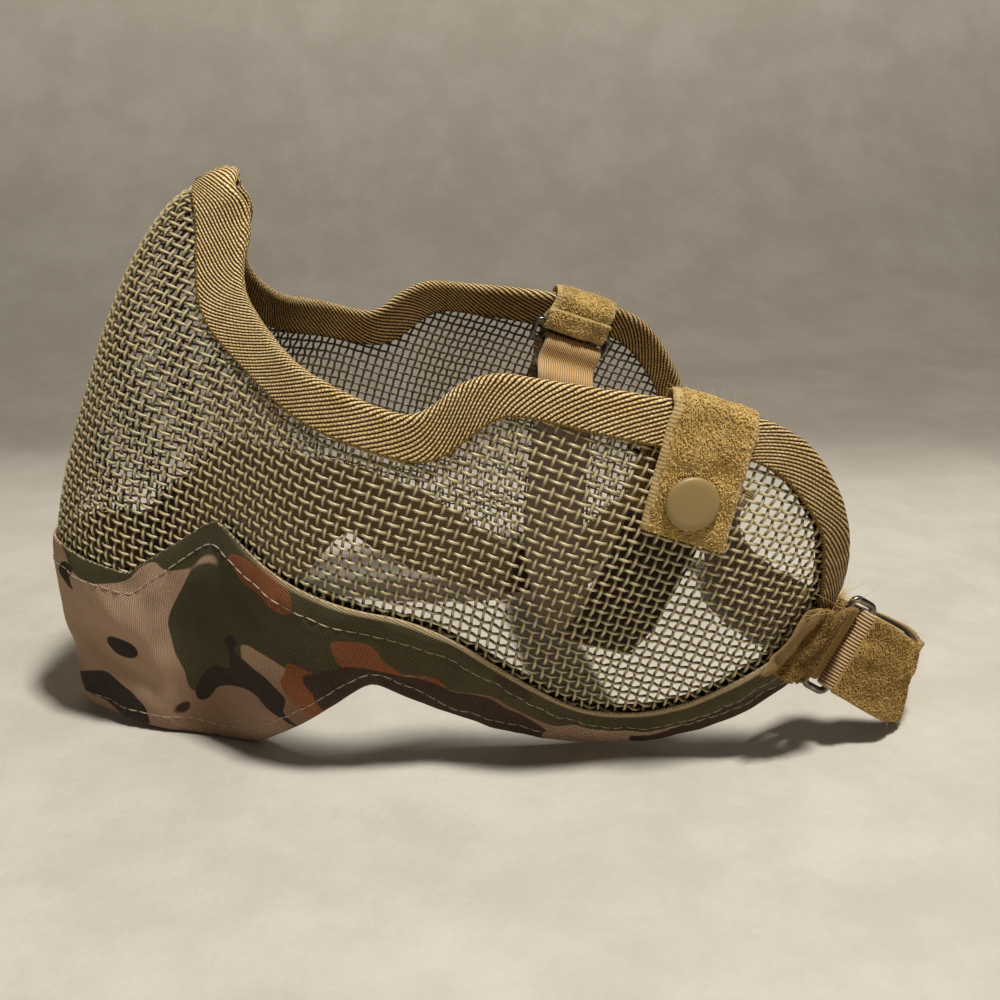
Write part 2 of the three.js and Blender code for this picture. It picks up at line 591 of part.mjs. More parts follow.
// The lower tab: along the outside of the rear corner, round the ring and back to the inside.
function lowerTabGeometry(fastening) {
  const { tabBar, bar, drop, inward } = fastening;
  const turn = RING.wire / 2 + FIT + TAB.thickness / 2;
  const outside = LOWER_TAB_OUTSIDE.map((row) => {
    const high = wallPoint(row.highArc, row.highHeight, row.outward);
    const low = wallPoint(row.lowArc, row.lowHeight, row.outward);
    return { middle: high.clone().lerp(low, 0.5), across: high.sub(low).divideScalar(TAB.width) };
  });
  const loop = turnPoints(tabBar, inward, drop, turn, 180, 0, TURN_POINTS);
  const inside = LOWER_TAB_INSIDE.map((row) => wallPoint(row.arc, row.height, row.outward));
  const middles = [...outside.map((row) => row.middle), ...loop, ...inside];
  const acrosses = middles.map((_, i) => (i < outside.length ? outside[i].across : bar));
  return webbingBody(pathStations(middles, acrosses), TAB.width, TAB.thickness);
}

function lowerStrapRun(fastening) {
  const turn = RING.wire / 2 + FIT + LOWER_ELASTIC.thickness / 2;
  const end = (mirror) => {
    const flip = (vector) => (mirror ? mirrored(vector) : vector.clone());
    const bar = flip(fastening.strapBar);
    const inward = flip(fastening.inward);
    const drop = flip(fastening.drop);
    const wrap = turnPoints(bar, inward, drop, turn, 0, -180, TURN_POINTS);
    const sewn = wrap[0].clone()
      .addScaledVector(inward, -LOWER_ELASTIC.gather)
      .addScaledVector(drop, LOWER_ELASTIC.sewn);
    const leaving = wrap.at(-1).clone().addScaledVector(drop, LOWER_ELASTIC.straight);
    return [sewn, ...wrap, leaving];
  };
  const left = end(false);
  const right = end(true).reverse();
  const run = LOWER_RUN.map((row) => new THREE.Vector3(row.x, row.y, row.z));
  const crossing = smoothRun([left.at(-1), ...run, right[0]], RUN_POINTS.lower);
  const middles = [...left.slice(0, -1), ...crossing, ...right.slice(1)];
  const across = LOWER_RUN.map((row) => new THREE.Vector3(row.acrossX, row.acrossY, row.acrossZ).normalize());
  const leans = [fastening.bar, ...across, mirrored(fastening.bar)];
  const acrosses = middles.map((_, i) => {
    const part = THREE.MathUtils.clamp((i - left.length) / (crossing.length - 1), 0, 1);
    const place = part * (leans.length - 1);
    const first = Math.min(Math.floor(place), leans.length - 2);
    return leans[first].clone().lerp(leans[first + 1], place - first).normalize();
  });
  return { stations: pathStations(middles, acrosses), leavesRing: left.length };
}

// The loop-pile patch lies on the outside of the lower strap, from a little way past the left ring.
function patchStations(strap) {
  const first = strap.leavesRing;
  const lengths = [0];
  for (let i = first + 1; i < strap.stations.length; i += 1) {
    lengths.push(lengths.at(-1) + strap.stations[i].middle.distanceTo(strap.stations[i - 1].middle));
  }
  const lift = (LOWER_ELASTIC.thickness + PATCH.thickness) / 2 + PATCH.lift;
  return strap.stations.slice(first)
    .filter((_, i) => lengths[i] >= PATCH.start && lengths[i] <= PATCH.start + PATCH.length)
    .map((station) => ({ ...station, middle: station.middle.clone().addScaledVector(station.face, lift) }));
}

// ---------------------------------------------------------------- materials and assembly

const materials = {
  wire: new THREE.MeshStandardMaterial({ color: 0x8a8160, roughness: 0.5, metalness: 0.6 }),
  tape: new THREE.MeshStandardMaterial({ color: 0xa8843f, roughness: 0.85, metalness: 0 }),
  cloth: new THREE.MeshStandardMaterial({ color: 0x6f6446, roughness: 0.9, metalness: 0 }),
  pile: new THREE.MeshStandardMaterial({ color: 0xa07c2e, roughness: 1, metalness: 0 }),
  snap: new THREE.MeshStandardMaterial({ color: 0x9c8a5a, roughness: 0.45, metalness: 0 }),
  steel: new THREE.MeshStandardMaterial({ color: 0x3c3834, roughness: 0.35, metalness: 0.9 }),
  elastic: new THREE.MeshStandardMaterial({ color: 0x8d6c46, roughness: 0.8, metalness: 0 }),
};

function named(name, geometry, material) {
  const mesh = new THREE.Mesh(geometry, material);
  mesh.name = name;
  return mesh;
}

// A left-hand body reflected to the right, with its faces turned back outward.
function reflected(geometry) {
  const copy = geometry.clone();
  copy.scale(-1, 1, 1);
  const index = copy.getIndex();
  for (let i = 0; i < index.count; i += 3) {
    const second = index.getX(i + 1);
    index.setX(i + 1, index.getX(i + 2));
    index.setX(i + 2, second);
  }
  return copy;
}

function webbing(name, stations, { width, thickness }, material) {
  return named(name, webbingBody(stations, width, thickness), material);
}

function pair(name, geometry, material) {
  return [named(`${name}_left`, geometry, material), named(`${name}_right`, reflected(geometry), material)];
}

const upperLeft = upperFastening(TAB_PLACES.left);
const upperRight = upperFastening(TAB_PLACES.right);
const lower = lowerFastening();
const lowerStrap = lowerStrapRun(lower);
const capSeat = tapeOuter + SEAT + TAB.thickness + SNAP_SEAT;
const baseSeat = -MESH.thickness / 2 - SNAP_SEAT;

const mask = new THREE.Group();
mask.add(
  named('mesh_shell', shellGeometry(), materials.wire),
  named('edge_tape', tapeGeometry(), materials.tape),
  named('chin_cloth', clothGeometry(), materials.cloth),
  named('upper_tab_left', upperLeft.tab, materials.pile),
  named('upper_tab_right', reflected(upperRight.tab), materials.pile),
  named('upper_ring_left', upperLeft.ring, materials.steel),
  named('upper_ring_right', reflected(upperRight.ring), materials.steel),
  ...pair('lower_tab', lowerTabGeometry(lower), materials.pile),
  ...pair('lower_ring', ringGeometry(lower.tabBar, lower.bar, lower.drop), materials.steel),
  webbing('upper_strap', upperStrapStations(upperLeft, upperRight), ELASTIC, materials.elastic),
  webbing('lower_strap', lowerStrap.stations, LOWER_ELASTIC, materials.elastic),
  webbing('strap_patch', patchStations(lowerStrap), PATCH, materials.pile),
);
for (const [side, name] of [[1, 'left'], [-1, 'right']]) {
  mask.add(snapMesh(`snap_cap_${name}`, SNAP.radius, SNAP.height, SNAP.rim, capSeat, 1, side));
  mask.add(snapMesh(`snap_base_${name}`, SNAP.baseRadius, SNAP.baseHeight, SNAP.rim, baseSeat, -1, side));
}

// The origin lies under the middle of the whole mask, on the surface that it stands on.
const box = new THREE.Box3().setFromObject(mask, true);
mask.position.set(0, -(box.min.y + box.max.y) / 2, -box.min.z);

export default mask;
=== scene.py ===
"""Half-face mesh mask: woven wire, folded tape, camouflage cloth and hook-and-loop straps.

Every surface is a function of two lengths. A place on the formed wall is given by arc, along a
weft wire from the nose ridge (positive on the wearer's left), and height, along the worn upright.
The tape, cloth, wires and tabs are laid on that wall at a distance outward from its middle.
Lengths in the geometry code are millimetres; settings are in metres, as Blender keeps them.
"""
import math

import bpy
import numpy as np
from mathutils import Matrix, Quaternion, Vector


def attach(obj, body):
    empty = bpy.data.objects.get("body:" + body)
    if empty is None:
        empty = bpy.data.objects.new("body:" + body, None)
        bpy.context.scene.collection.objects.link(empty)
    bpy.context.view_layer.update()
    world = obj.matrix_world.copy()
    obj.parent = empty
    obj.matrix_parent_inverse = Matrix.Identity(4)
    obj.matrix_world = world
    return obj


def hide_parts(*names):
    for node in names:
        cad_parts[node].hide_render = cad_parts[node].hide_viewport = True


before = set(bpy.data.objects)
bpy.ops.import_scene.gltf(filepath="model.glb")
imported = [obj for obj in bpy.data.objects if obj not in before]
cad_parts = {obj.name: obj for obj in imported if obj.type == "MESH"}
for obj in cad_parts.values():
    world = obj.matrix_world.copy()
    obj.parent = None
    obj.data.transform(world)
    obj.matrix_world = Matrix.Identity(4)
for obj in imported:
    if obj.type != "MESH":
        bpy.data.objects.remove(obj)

bl_info = {
    "name": "Half-face mesh mask",
    "version": (1, 0, 0),
    "blender": (4, 5, 0),
    "location": "View3D > Sidebar > Mask",
    "description": "Builds the woven wire, tape, cloth and straps of a half-face mesh mask",
    "category": "Add Mesh",
}

MM = 0.001

# -------- form of the wall

LEAN = math.radians(20)

# The worn frame's origin, measured from the point under the middle of the resting mask.
REST = np.array([0.0, -106.422, -0.027])

# Heading of the wall in plan, in degrees from straight back, at five worn heights.
LEVELS = np.array([5.0, 45.0, 80.0, 115.0, 148.0])
# Columns: arc, then the heading at each of LEVELS.
HEADINGS = np.array([
    (0, 90, 90, 90, 90, 90),
    (6, 52, 67, 75, 78, 78),
    (14, 40, 52, 60, 46, 4),
    (26, 28, 28, 31, 25, 12),
    (40, 20, 19, 25, 31, 40),
    (54, 19, 35, 42, 54, 78),
    (68, 21, 46, 51, 56, 75),
    (82, 10, 27, 35, 36, 36),
    (96, -9, 1, 12, 10, 2),
    (112, -21, -9, -1, 7, 9),
    (128, -21, 0, 22, 21, 12),
    (144, -12, -1, 3, 6, 8),
    (164, -6, -4, -6, 1, 5),
    (184, -9, -3, 2, -3, -5),
    (200, -23, -20, -18, -21, -28),
    (216, -43, -45, -49, -56, -62),
    (232, -60, -62, -66, -74, -80),
], float)
# Columns: worn height, how far back the ridge of the nose and chin lies.
RIDGE = np.array([
    (0, 0), (16, -8), (30, -14.5), (42, -19.5), (58, -22.3), (80, -23.2), (100, -22.8),
    (118, -21), (131, -17.6), (138.4, -13.8), (143, -9.6), (145.3, -5), (146.3, 0),
], float)
# Columns of both edges: arc and height of the fold, arc and height of the hem.
TAPE_EDGE = np.array([
    (0, 146.1, 0, 143.2),
    (15, 144.6, 11.2, 139.1),
    (27, 138, 19, 131.6),
    (34, 128.6, 26.2, 122.4),
    (43, 121.4, 36.5, 113),
    (59, 116.4, 55.5, 107),
    (76, 115.3, 76, 104.7),
    (90.5, 115, 92.5, 105.1),
    (99, 117, 105, 107.2),
    (104, 124.6, 111.8, 115.8),
    (111, 130.2, 117, 121.8),
    (125, 133.2, 128.5, 124.1),
    (151, 138.2, 152, 127),
    (168, 139.6, 166, 129.5),
    (184, 136.5, 179, 128.8),
    (198.2, 127, 191.2, 122),
    (204, 121.3, 196.8, 117.2),
    (214.4, 108.4, 203.8, 106),
    (217.6, 94.2, 208.2, 95.2),
], float)
CLOTH_EDGE = np.array([
    (0, 1.6, 0, 45),
    (30, 7.2, 28, 47.7),
    (38, 9.2, 35, 50.6),
    (46.5, 11.3, 44, 60),
    (51.5, 12.5, 50, 66.4),
    (57, 14, 55.5, 71.4),
    (64, 17.4, 62, 71.2),
    (81, 30, 80, 68.3),
    (96.5, 43, 96, 67.8),
    (103.5, 48.3, 104, 68.3),
    (111, 46.4, 112, 68.2),
    (131, 43.3, 131, 64.8),
    (153, 44, 151, 58.4),
    (165, 47, 162, 57.6),
    (177, 51.5, 172, 60),
    (188, 58.2, 180, 64.6),
    (196, 65, 186.5, 70.2),
    (211, 77.6, 198.5, 83.4),
    (216, 84, 203, 89),
    (217.6, 92, 205.6, 93),
], float)

# The wall's grid, a millimetre apart: its last arc and its worn heights.
ARC_END = 232
HEIGHTS = np.arange(-4.0, 153.0)
# Places at which each curve is worked out before it's read.
READS = {"ridge": 2000, "fold": 1500, "edge": 4000, "ribs": 600}


def natural_spline(xs, ys, at):
    """Natural cubic spline through (xs, ys), one column for each of ys' columns, read at `at`."""
    xs, ys, at = (np.asarray(values, float) for values in (xs, ys, at))
    columns = ys.reshape(len(xs), -1)
    step = np.diff(xs)
    inner = np.arange(1, len(xs) - 1)
    system = np.eye(len(xs))
    system[inner, inner - 1] = step[:-1]
    system[inner, inner] = 2 * (step[:-1] + step[1:])
    system[inner, inner + 1] = step[1:]
    jumps = np.zeros_like(columns)
    jumps[1:-1] = 6 * np.diff(np.diff(columns, axis=0) / step[:, None], axis=0)
    bend = np.linalg.solve(system, jumps)
    i = np.clip(np.searchsorted(xs, at) - 1, 0, len(xs) - 2)
    a = ((xs[i + 1] - at) / step[i])[..., None]
    b = 1 - a
    curve = (a**3 - a) * bend[i] + (b**3 - b) * bend[i + 1]
    found = a * columns[i] + b * columns[i + 1] + curve * (step[i] ** 2)[..., None] / 6
    return found.reshape(at.shape + ys.shape[1:])


def unit(vectors):
    """Vectors at length 1."""
    return vectors / np.maximum(np.linalg.norm(vectors, axis=-1, keepdims=True), 1e-12)


def formed_wall():
    """Grid of the wall's middle surface and of its outward normals, one place for each millimetre.

    In plan, at each height, the wall starts on the ridge and walks forward a millimetre at a time
    with the heading f(arc, height): side = sum of sin f, back = ridge + sum of cos f. The heading
    is a spline of HEADINGS along the arc and of LEVELS up the height. The worn frame then leans.
    """
    arcs = np.arange(ARC_END + 1.0)
    by_level = natural_spline(HEADINGS[:, 0], HEADINGS[:, 1:], arcs)
    weights = natural_spline(LEVELS, np.eye(len(LEVELS)), HEIGHTS)
    heading = np.radians(weights @ by_level.T)
    walked = [np.pad(np.cumsum((f[:, 1:] + f[:, :-1]) / 2, axis=1), ((0, 0), (1, 0)))
              for f in (np.sin(heading), np.cos(heading))]
    side = walked[0]
    back = natural_spline(RIDGE[:, 0], RIDGE[:, 1], HEIGHTS)[:, None] + walked[1]
    side = np.concatenate([-side[:, :0:-1], side], axis=1)
    back = np.concatenate([back[:, :0:-1], back], axis=1)
    up = np.broadcast_to(HEIGHTS[:, None], side.shape)
    y = back * math.cos(LEAN) + up * math.sin(LEAN)
    z = up * math.cos(LEAN) - back * math.sin(LEAN)
    points = np.stack([side, y, z], axis=-1) + REST
    out = unit(np.cross(np.gradient(points, axis=1), np.gradient(points, axis=0)))
    return np.concatenate([points, out], axis=-1)


WALL = formed_wall()


def wall_read(arc, height):
    """Point and outward normal of the wall's middle, between grid places by cubic convolution."""
    arc, height = np.broadcast_arrays(np.asarray(arc, float), np.asarray(height, float))
    column = np.clip(arc + ARC_END, 1.001, 2 * ARC_END - 2.001)
    row = np.clip(height - HEIGHTS[0], 1.001, len(HEIGHTS) - 3.001)
    total = 0
    for i, row_weight in enumerate(cubic_weights(row % 1)):
        for j, column_weight in enumerate(cubic_weights(column % 1)):
            place = WALL[np.floor(row).astype(int) + i - 1, np.floor(column).astype(int) + j - 1]
            total = total + (row_weight * column_weight)[..., None] * place
    return total[..., :3], unit(total[..., 3:])


def cubic_weights(t):
    """Weights of the four places round a fraction t between the middle two."""
    return (
        -0.5 * t + t**2 - 0.5 * t**3,
        1 - 2.5 * t**2 + 1.5 * t**3,
        0.5 * t + 2 * t**2 - 1.5 * t**3,
        -0.5 * t**2 + 0.5 * t**3,
    )


def wall(arc, height, outward=0.0):
    """Point at a distance outward from the middle of the wall."""
    middle, out = wall_read(arc, height)
    return middle + np.asarray(outward, float)[..., None] * out


def wall_axes(arc, height):
    """Unit vectors of the wall at a place: along the weft, up the warp, and outward."""
    along = unit(wall(arc + 1, height) - wall(arc - 1, height))
    rise = unit(wall(arc, height + 0.5) - wall(arc, height - 0.5))
    out = unit(np.cross(along, rise))
    return along, np.cross(out, along), out


def edge_height(table, arc):
    """Height of the fold of an edge table at each arc."""
    rows = np.linspace(0, len(table) - 1, READS["fold"])
    fold = natural_spline(np.arange(len(table)), table[:, :2], rows)
    return np.interp(np.abs(arc), fold[:, 0], fold[:, 1])


def edge_line(table, spacing):
    """Rows of an edge table, read evenly along its fold from the right rear end to the left."""
    numbers = np.arange(len(table))
    rows = np.linspace(0, len(table) - 1, READS["edge"])
    fold = natural_spline(numbers, table[:, :2], rows)
    run = running_length(fold)
    count = int(run[-1] / spacing)
    even = np.interp(np.linspace(0, run[-1], count + 1), run, rows)
    left = natural_spline(numbers, table, even)
    right = left[:0:-1] * [-1, 1, -1, 1]
    return np.concatenate([right, left])


def length_along(line):
    """Length along the middle of a folded edge, from the ridge of the nose or chin."""
    along = running_length(wall((line[:, 0] + line[:, 2]) / 2, (line[:, 1] + line[:, 3]) / 2))
    return along - along[-1] / 2


def running_length(points):
    """Length along a line of points, from its first point to each."""
    steps = np.linalg.norm(np.diff(points, axis=0), axis=-1)
    return np.concatenate([[0], np.cumsum(steps)])


# Sine waves in a ripple, and the shortest and longest of them beside its own length.
WAVES = 9
WAVE_LENGTHS = (0.6, 1.8)


def ripple(u, v, wavelength, seed):
    """Smooth random height of about unit size: a sum of sine waves with random headings."""
    draw = np.random.default_rng(seed)
    heading = draw.uniform(0, math.pi, WAVES)
    length = wavelength * draw.uniform(*WAVE_LENGTHS, WAVES)
    phase = draw.uniform(0, 2 * math.pi, WAVES)
    total = 0
    for angle, size, start in zip(heading, length, phase):
        total = total + np.sin((u * math.cos(angle) + v * math.sin(angle)) * 2 * math.pi / size + start)
    return total / math.sqrt(WAVES / 2)


# -------- meshes

def new_piece(name, parts, material, uv=None, attributes=None, sharp=None):
    """Object from parts, each (points, [faces with one number of corners, ...]), in millimetres."""
    starts = np.cumsum([0] + [len(points) for points, _ in parts])
    points = np.concatenate([part[0] for part in parts])
    faces = [f + start for (_, groups), start in zip(parts, starts) for f in groups]
    corners = np.concatenate([f.ravel() for f in faces]).astype(np.int32)
    sizes = np.concatenate([np.full(len(f), f.shape[1]) for f in faces])
    mesh = bpy.data.meshes.new(name)
    mesh.vertices.add(len(points))
    mesh.vertices.foreach_set("co", (points * MM).astype(np.float32).ravel())
    mesh.loops.add(len(corners))
    mesh.loops.foreach_set("vertex_index", corners)
    mesh.polygons.add(len(sizes))
    first_corners = np.concatenate([[0], np.cumsum(sizes)[:-1]])
    mesh.polygons.foreach_set("loop_start", first_corners.astype(np.int32))
    mesh.update(calc_edges=True)
    mesh.validate()
    if uv is not None:
        layer = mesh.uv_layers.new(name="Cloth")
        layer.data.foreach_set("uv", uv[corners].astype(np.float32).ravel())
    for key, values in (attributes or {}).items():
        attribute = mesh.attributes.new(key, "FLOAT", "POINT")
        attribute.data.foreach_set("value", values.astype(np.float32))
    mesh.shade_smooth()
    if sharp is not None:
        mesh.set_sharp_from_angle(angle=math.radians(sharp))
    mesh.materials.append(material)
    piece = bpy.data.objects.new(name, mesh)
    bpy.context.scene.collection.objects.link(piece)
    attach(piece, "root")
    return piece


def carried(rings, closed=False, capped=True, flip=False):
    """Closed section carried along a path: rings is (stations, section points, 3).

    Quads join each section to the next; a path that isn't closed ends in one flat face each.
    """
    stations, around = rings.shape[:2]
    i = np.arange(stations if closed else stations - 1)[:, None]
    j = np.arange(around)[None, :]
    after = (i + 1) % stations
    beside = (j + 1) % around
    quads = np.stack(np.broadcast_arrays(
        i * around + j, after * around + j, after * around + beside, i * around + beside), -1)
    groups = [quads.reshape(-1, 4)]
    if capped and not closed:
        start = np.arange(around)[None, :]
        end = (stations - 1) * around + np.arange(around)[None, ::-1]
        groups += [start, end]
    if flip:
        groups = [f[:, ::-1] for f in groups]
    return rings.reshape(-1, 3), groups


def plied(front, back):
    """Closed sheet between two grids of points, with a rim round all four sides."""
    rows, columns = front.shape[:2]
    rings = np.concatenate([front, back[:, ::-1]], axis=1)
    around = 2 * columns
    points, groups = carried(rings, capped=False)
    j = np.arange(columns - 1)
    cap = np.stack([j, j + 1, around - 2 - j, around - 1 - j], -1)
    groups += [cap, (rows - 1) * around + cap[:, ::-1]]
    return points, groups


def on_both(values):
    """A grid of values for the front of a plied sheet, repeated for its back."""
    return np.concatenate([values, values[:, ::-1]], axis=1).ravel()


def tube(points, normals, radius, sides, closed=False):
    """Round tube along points; normals give the direction of its first side."""
    if closed:
        run = unit(np.roll(points, -1, axis=0) - np.roll(points, 1, axis=0))
    else:
        run = unit(np.gradient(points, axis=0))
    first = unit(normals - np.sum(normals * run, -1, keepdims=True) * run)
    second = np.cross(run, first)
    angle = (np.arange(sides) * 2 * math.pi / sides)[None, :, None]
    radius = np.broadcast_to(radius, len(points))[:, None, None]
    ring = first[:, None] * np.cos(angle) + second[:, None] * np.sin(angle)
    return carried(points[:, None] + radius * ring, closed=closed, flip=True)


# How far in, in half thicknesses, a rounded edge still curves: at 1 it would be a blade.
BLUNT = 0.985


def rounded_half(distance, half):
    """Half thickness at a distance from an edge that is rounded over its own half thickness."""
    near = np.clip(1 - distance / half, 0, BLUNT)
    return half * np.sqrt(1 - near**2)


# Power of the chord that spaces a centripetal curve's knots, and places worked out in each span.
CENTRIPETAL = 0.5
SPAN_PLACES = 24


def smooth_path(points, spacing):
    """Centripetal Catmull-Rom curve through points, read at even distances."""
    points = np.asarray(points, float)
    ends = np.concatenate([[2 * points[0] - points[1]], points, [2 * points[-1] - points[-2]]])
    chords = np.linalg.norm(np.diff(ends, axis=0), axis=1)
    knots = np.concatenate([[0], np.cumsum(chords ** CENTRIPETAL)])
    dense = []
    for i in range(1, len(ends) - 2):
        t = np.linspace(knots[i], knots[i + 1], SPAN_PLACES, endpoint=False)[:, None]
        level = [ends[i - 1], ends[i], ends[i + 1], ends[i + 2]]
        k = knots[i - 1:i + 3]
        a = [(level[n] * (k[n + 1] - t) + level[n + 1] * (t - k[n])) / (k[n + 1] - k[n]) for n in range(3)]
        b = [(a[n] * (k[n + 2] - t) + a[n + 1] * (t - k[n])) / (k[n + 2] - k[n]) for n in range(2)]
        dense.append((b[0] * (k[2] - t) + b[1] * (t - k[1])) / (k[2] - k[1]))
    dense = np.concatenate([*dense, points[-1:]])
    run = running_length(dense)
    at = np.linspace(0, run[-1], max(2, int(round(run[-1] / spacing)) + 1))
    return along_path(dense, run, at)


def along_path(points, run, at):
    """Points read at given lengths along a line whose running length is run."""
    return np.stack([np.interp(at, run, points[:, axis]) for axis in range(points.shape[1])], -1)


def arc_points(centre, first, second, radius, start, end, count):
    """Points on a turn about a centre, from one angle to another in degrees."""
    angle = np.radians(np.linspace(start, end, count))[:, None]
    return centre + radius * (first * np.cos(angle) + second * np.sin(angle))


# -------- shader nodes

def shader(name, roughness, **constants):
    """New material; constants are set on the shader's own sockets."""
    material = bpy.data.materials.new(name)
    material.use_nodes = True
    bsdf = material.node_tree.nodes["Principled BSDF"]
    bsdf.inputs["Roughness"].default_value = roughness
    for key, value in constants.items():
        bsdf.inputs[key.replace("_", " ")].default_value = value
    return material, bsdf


def node(bsdf, kind, inputs=None, **settings):
    """New node beside a shader; an input is given a value or the socket that feeds it."""
    tree = bsdf.id_data
    made = tree.nodes.new("ShaderNode" + kind)
    for key, value in settings.items():
        setattr(made, key, value)
    for key, value in (inputs or {}).items():
        if isinstance(value, bpy.types.NodeSocket):
            tree.links.new(value, made.inputs[key])
        else:
            made.inputs[key].default_value = value
    return made


def feed(bsdf, socket, source):
    """Link a socket to one of the shader's own."""
    bsdf.id_data.links.new(source, bsdf.inputs[socket])


def maths(bsdf, operation, first, second=0.0, third=0.0):
    """Result of a maths node; each input is a number or a socket."""
    return node(bsdf, "Math", {0: first, 1: second, 2: third}, operation=operation).outputs[0]


def times(bsdf, first, second):
    """First times second."""
    return maths(bsdf, "MULTIPLY", first, second)


def rest_of(bsdf, share):
    """What a share leaves of 1."""
    return maths(bsdf, "SUBTRACT", 1.0, share)


def mixed(bsdf, share, first, second, amount=None, blend="MIX"):
    """Mix of two colours, each a socket or a colour; amount is how much of the second there is at most."""
    if amount is not None:
        share = times(bsdf, share, amount)
    first, second = (value if isinstance(value, bpy.types.NodeSocket) else (*value, 1)[:4]
                     for value in (first, second))
    inputs = {0: share, 6: first, 7: second}
    return node(bsdf, "Mix", inputs, data_type="RGBA", blend_type=blend).outputs[2]


def shaded(bsdf, colour, kept):
    """Colour that keeps a share of each channel."""
    return mixed(bsdf, 1.0, colour, kept, blend="MULTIPLY")


def mixed_value(bsdf, share, first, second):
    """Mix of two values."""
    return node(bsdf, "Mix", {0: share, 2: first, 3: second}).outputs[0]


def noise(bsdf, vector, scale, detail, rough=0.5):
    """Cloudy noise from about 0 to 1, read at a vector."""
    inputs = {"Vector": vector, "Scale": scale, "Detail": detail, "Roughness": rough}
    return node(bsdf, "TexNoise", inputs).outputs["Fac"]


def step_up(bsdf, value, low, high):
    """0 below low, 1 above high, and smooth between."""
    made = node(bsdf, "MapRange", {"Value": value, "From Min": low, "From Max": high})
    made.interpolation_type = "SMOOTHSTEP"
    return made.outputs["Result"]


def bumped(bsdf, height, depth, under=None):
    """Bump of a height, its depth in millimetres, on top of another one."""
    inputs = {"Height": height, "Distance": depth * MM}
    if under is not None:
        inputs["Normal"] = under
    return node(bsdf, "Bump", inputs).outputs["Normal"]


def finished(bsdf, colour, value, low, spread, *bumps):
    """Feed the shader its colour, its roughness low + spread * value, and its bumps.

    Each bump is the height that drives it and its depth, and lies on the one before.
    """
    feed(bsdf, "Base Color", colour)
    feed(bsdf, "Roughness", maths(bsdf, "MULTIPLY_ADD", value, spread, low))
    normal = None
    for height, depth in bumps:
        normal = bumped(bsdf, height, depth, normal)
    if normal is not None:
        feed(bsdf, "Normal", normal)


def wave(bsdf, value, period):
    """Sine of a length in millimetres, from 0 to 1 and back in each period."""
    angle = times(bsdf, value, 2 * math.pi / period)
    return maths(bsdf, "MULTIPLY_ADD", maths(bsdf, "SINE", angle), 0.5, 0.5)


def object_place(bsdf):
    """Place in the object's own axes, in metres."""
    return node(bsdf, "TexCoord").outputs["Object"]


def attribute(bsdf, name):
    """Value that a piece carries at each point."""
    return node(bsdf, "Attribute", attribute_name=name).outputs["Fac"]


def moved(bsdf, vector, scale=(1, 1, 1), shift=(0, 0, 0)):
    """Vector * scale + shift."""
    return node(bsdf, "Mapping", {"Vector": vector, "Scale": scale, "Location": shift}).outputs[0]


def cloth_lengths(bsdf):
    """The piece's own lengths along and across, in millimetres, and the vector that holds them."""
    vector = node(bsdf, "UVMap", uv_map="Cloth").outputs["UV"]
    split = node(bsdf, "SeparateXYZ", {0: vector})
    return split.outputs[0], split.outputs[1], vector


# -------- woven wire

# How far the wires stop from the tape's fold and from the cloth's, and their last arc; then the places
# to one pitch of a wire, and its sides.
WIRE_INSET = {"edge": 2.6, "hem": 2.8, "rear": 214.4}
WIRE_STATIONS = 3
WIRE_SIDES = 5
# A wire shorter than this many pitches is left out.
SHORTEST_WIRE = 2
# How wires wander: length of their slow wave, its change and its jump from wire to wire, and its seed.
WARP_DRIFT = {"wave": 34, "change": 3.1, "jump": 12.9898, "seed": 5}
WEFT_DRIFT = {"wave": 30, "change": 3.7, "jump": 78.233, "seed": 8}
# Painted shade: share of its colour that the low side of each wire keeps.
WIRE_SHADE = (0.2, 0.14, 0.07)


def weft_heights(pitch):
    """Worn height as a function of weft number: wefts lie a pitch apart along the ridge."""
    heights = np.linspace(0, RIDGE[-1, 0], READS["ridge"])
    back = natural_spline(RIDGE[:, 0], RIDGE[:, 1], heights)
    run = running_length(np.stack([heights, back], -1))
    return run / pitch, heights


def wall_limits(arc):
    """Lowest and highest height of the wires at each arc, inside the two folds."""
    def slope(table):
        """Length of the fold beside its arc: hypot(1, rise)."""
        rise = edge_height(table, np.abs(arc) + 1) - edge_height(table, np.abs(arc) - 1)
        return np.hypot(1, rise / 2)

    low = edge_height(CLOTH_EDGE, arc) + WIRE_INSET["hem"] * slope(CLOTH_EDGE)
    high = edge_height(TAPE_EDGE, arc) - WIRE_INSET["edge"] * slope(TAPE_EDGE)
    return low, high


def runs_of(mask):
    """First and last index of each run of true values."""
    edges = np.flatnonzero(np.diff(np.pad(mask.astype(int), 1)))
    return edges.reshape(-1, 2) - [0, 1]


def wandered(line, run, number, drift, way):
    """Line moved by drift * (slow ripple along the run + sin(jump * wire number))."""
    slow = ripple(run, number * way["change"], way["wave"], way["seed"])
    return line + drift * slow + drift * math.sin(number * way["jump"])


def stations_between(start, end, apart=0.1):
    """Weave numbers from start to end, at whole shares of the weave and not too near either end."""
    first, last = math.ceil(start * WIRE_STATIONS), math.floor(end * WIRE_STATIONS)
    inner = np.arange(first, last + 1) / WIRE_STATIONS
    inner = inner[(inner > start + apart) & (inner < end - apart)]
    return np.concatenate([[start], inner, [end]])


def warp_wires(pitch, crimp, drift, side):
    """Warp k lies at arc k * pitch; its distance outward is crimp * cos(pi * (weft number + k))."""
    numbers, heights = weft_heights(pitch)
    last = int(WIRE_INSET["rear"] / pitch)
    for k in range(-last, last + 1):
        if (k >= 0) != (side > 0):
            continue
        low, high = (float(x) for x in wall_limits(k * pitch))
        if high - low < SHORTEST_WIRE * pitch:
            continue
        weft = stations_between(*np.interp([low, high], heights, numbers))
        height = np.interp(weft, numbers, heights)
        arc = wandered(k * pitch, height, k, drift, WARP_DRIFT)
        outward = crimp * np.cos(math.pi * (weft + k))
        yield arc, height, outward


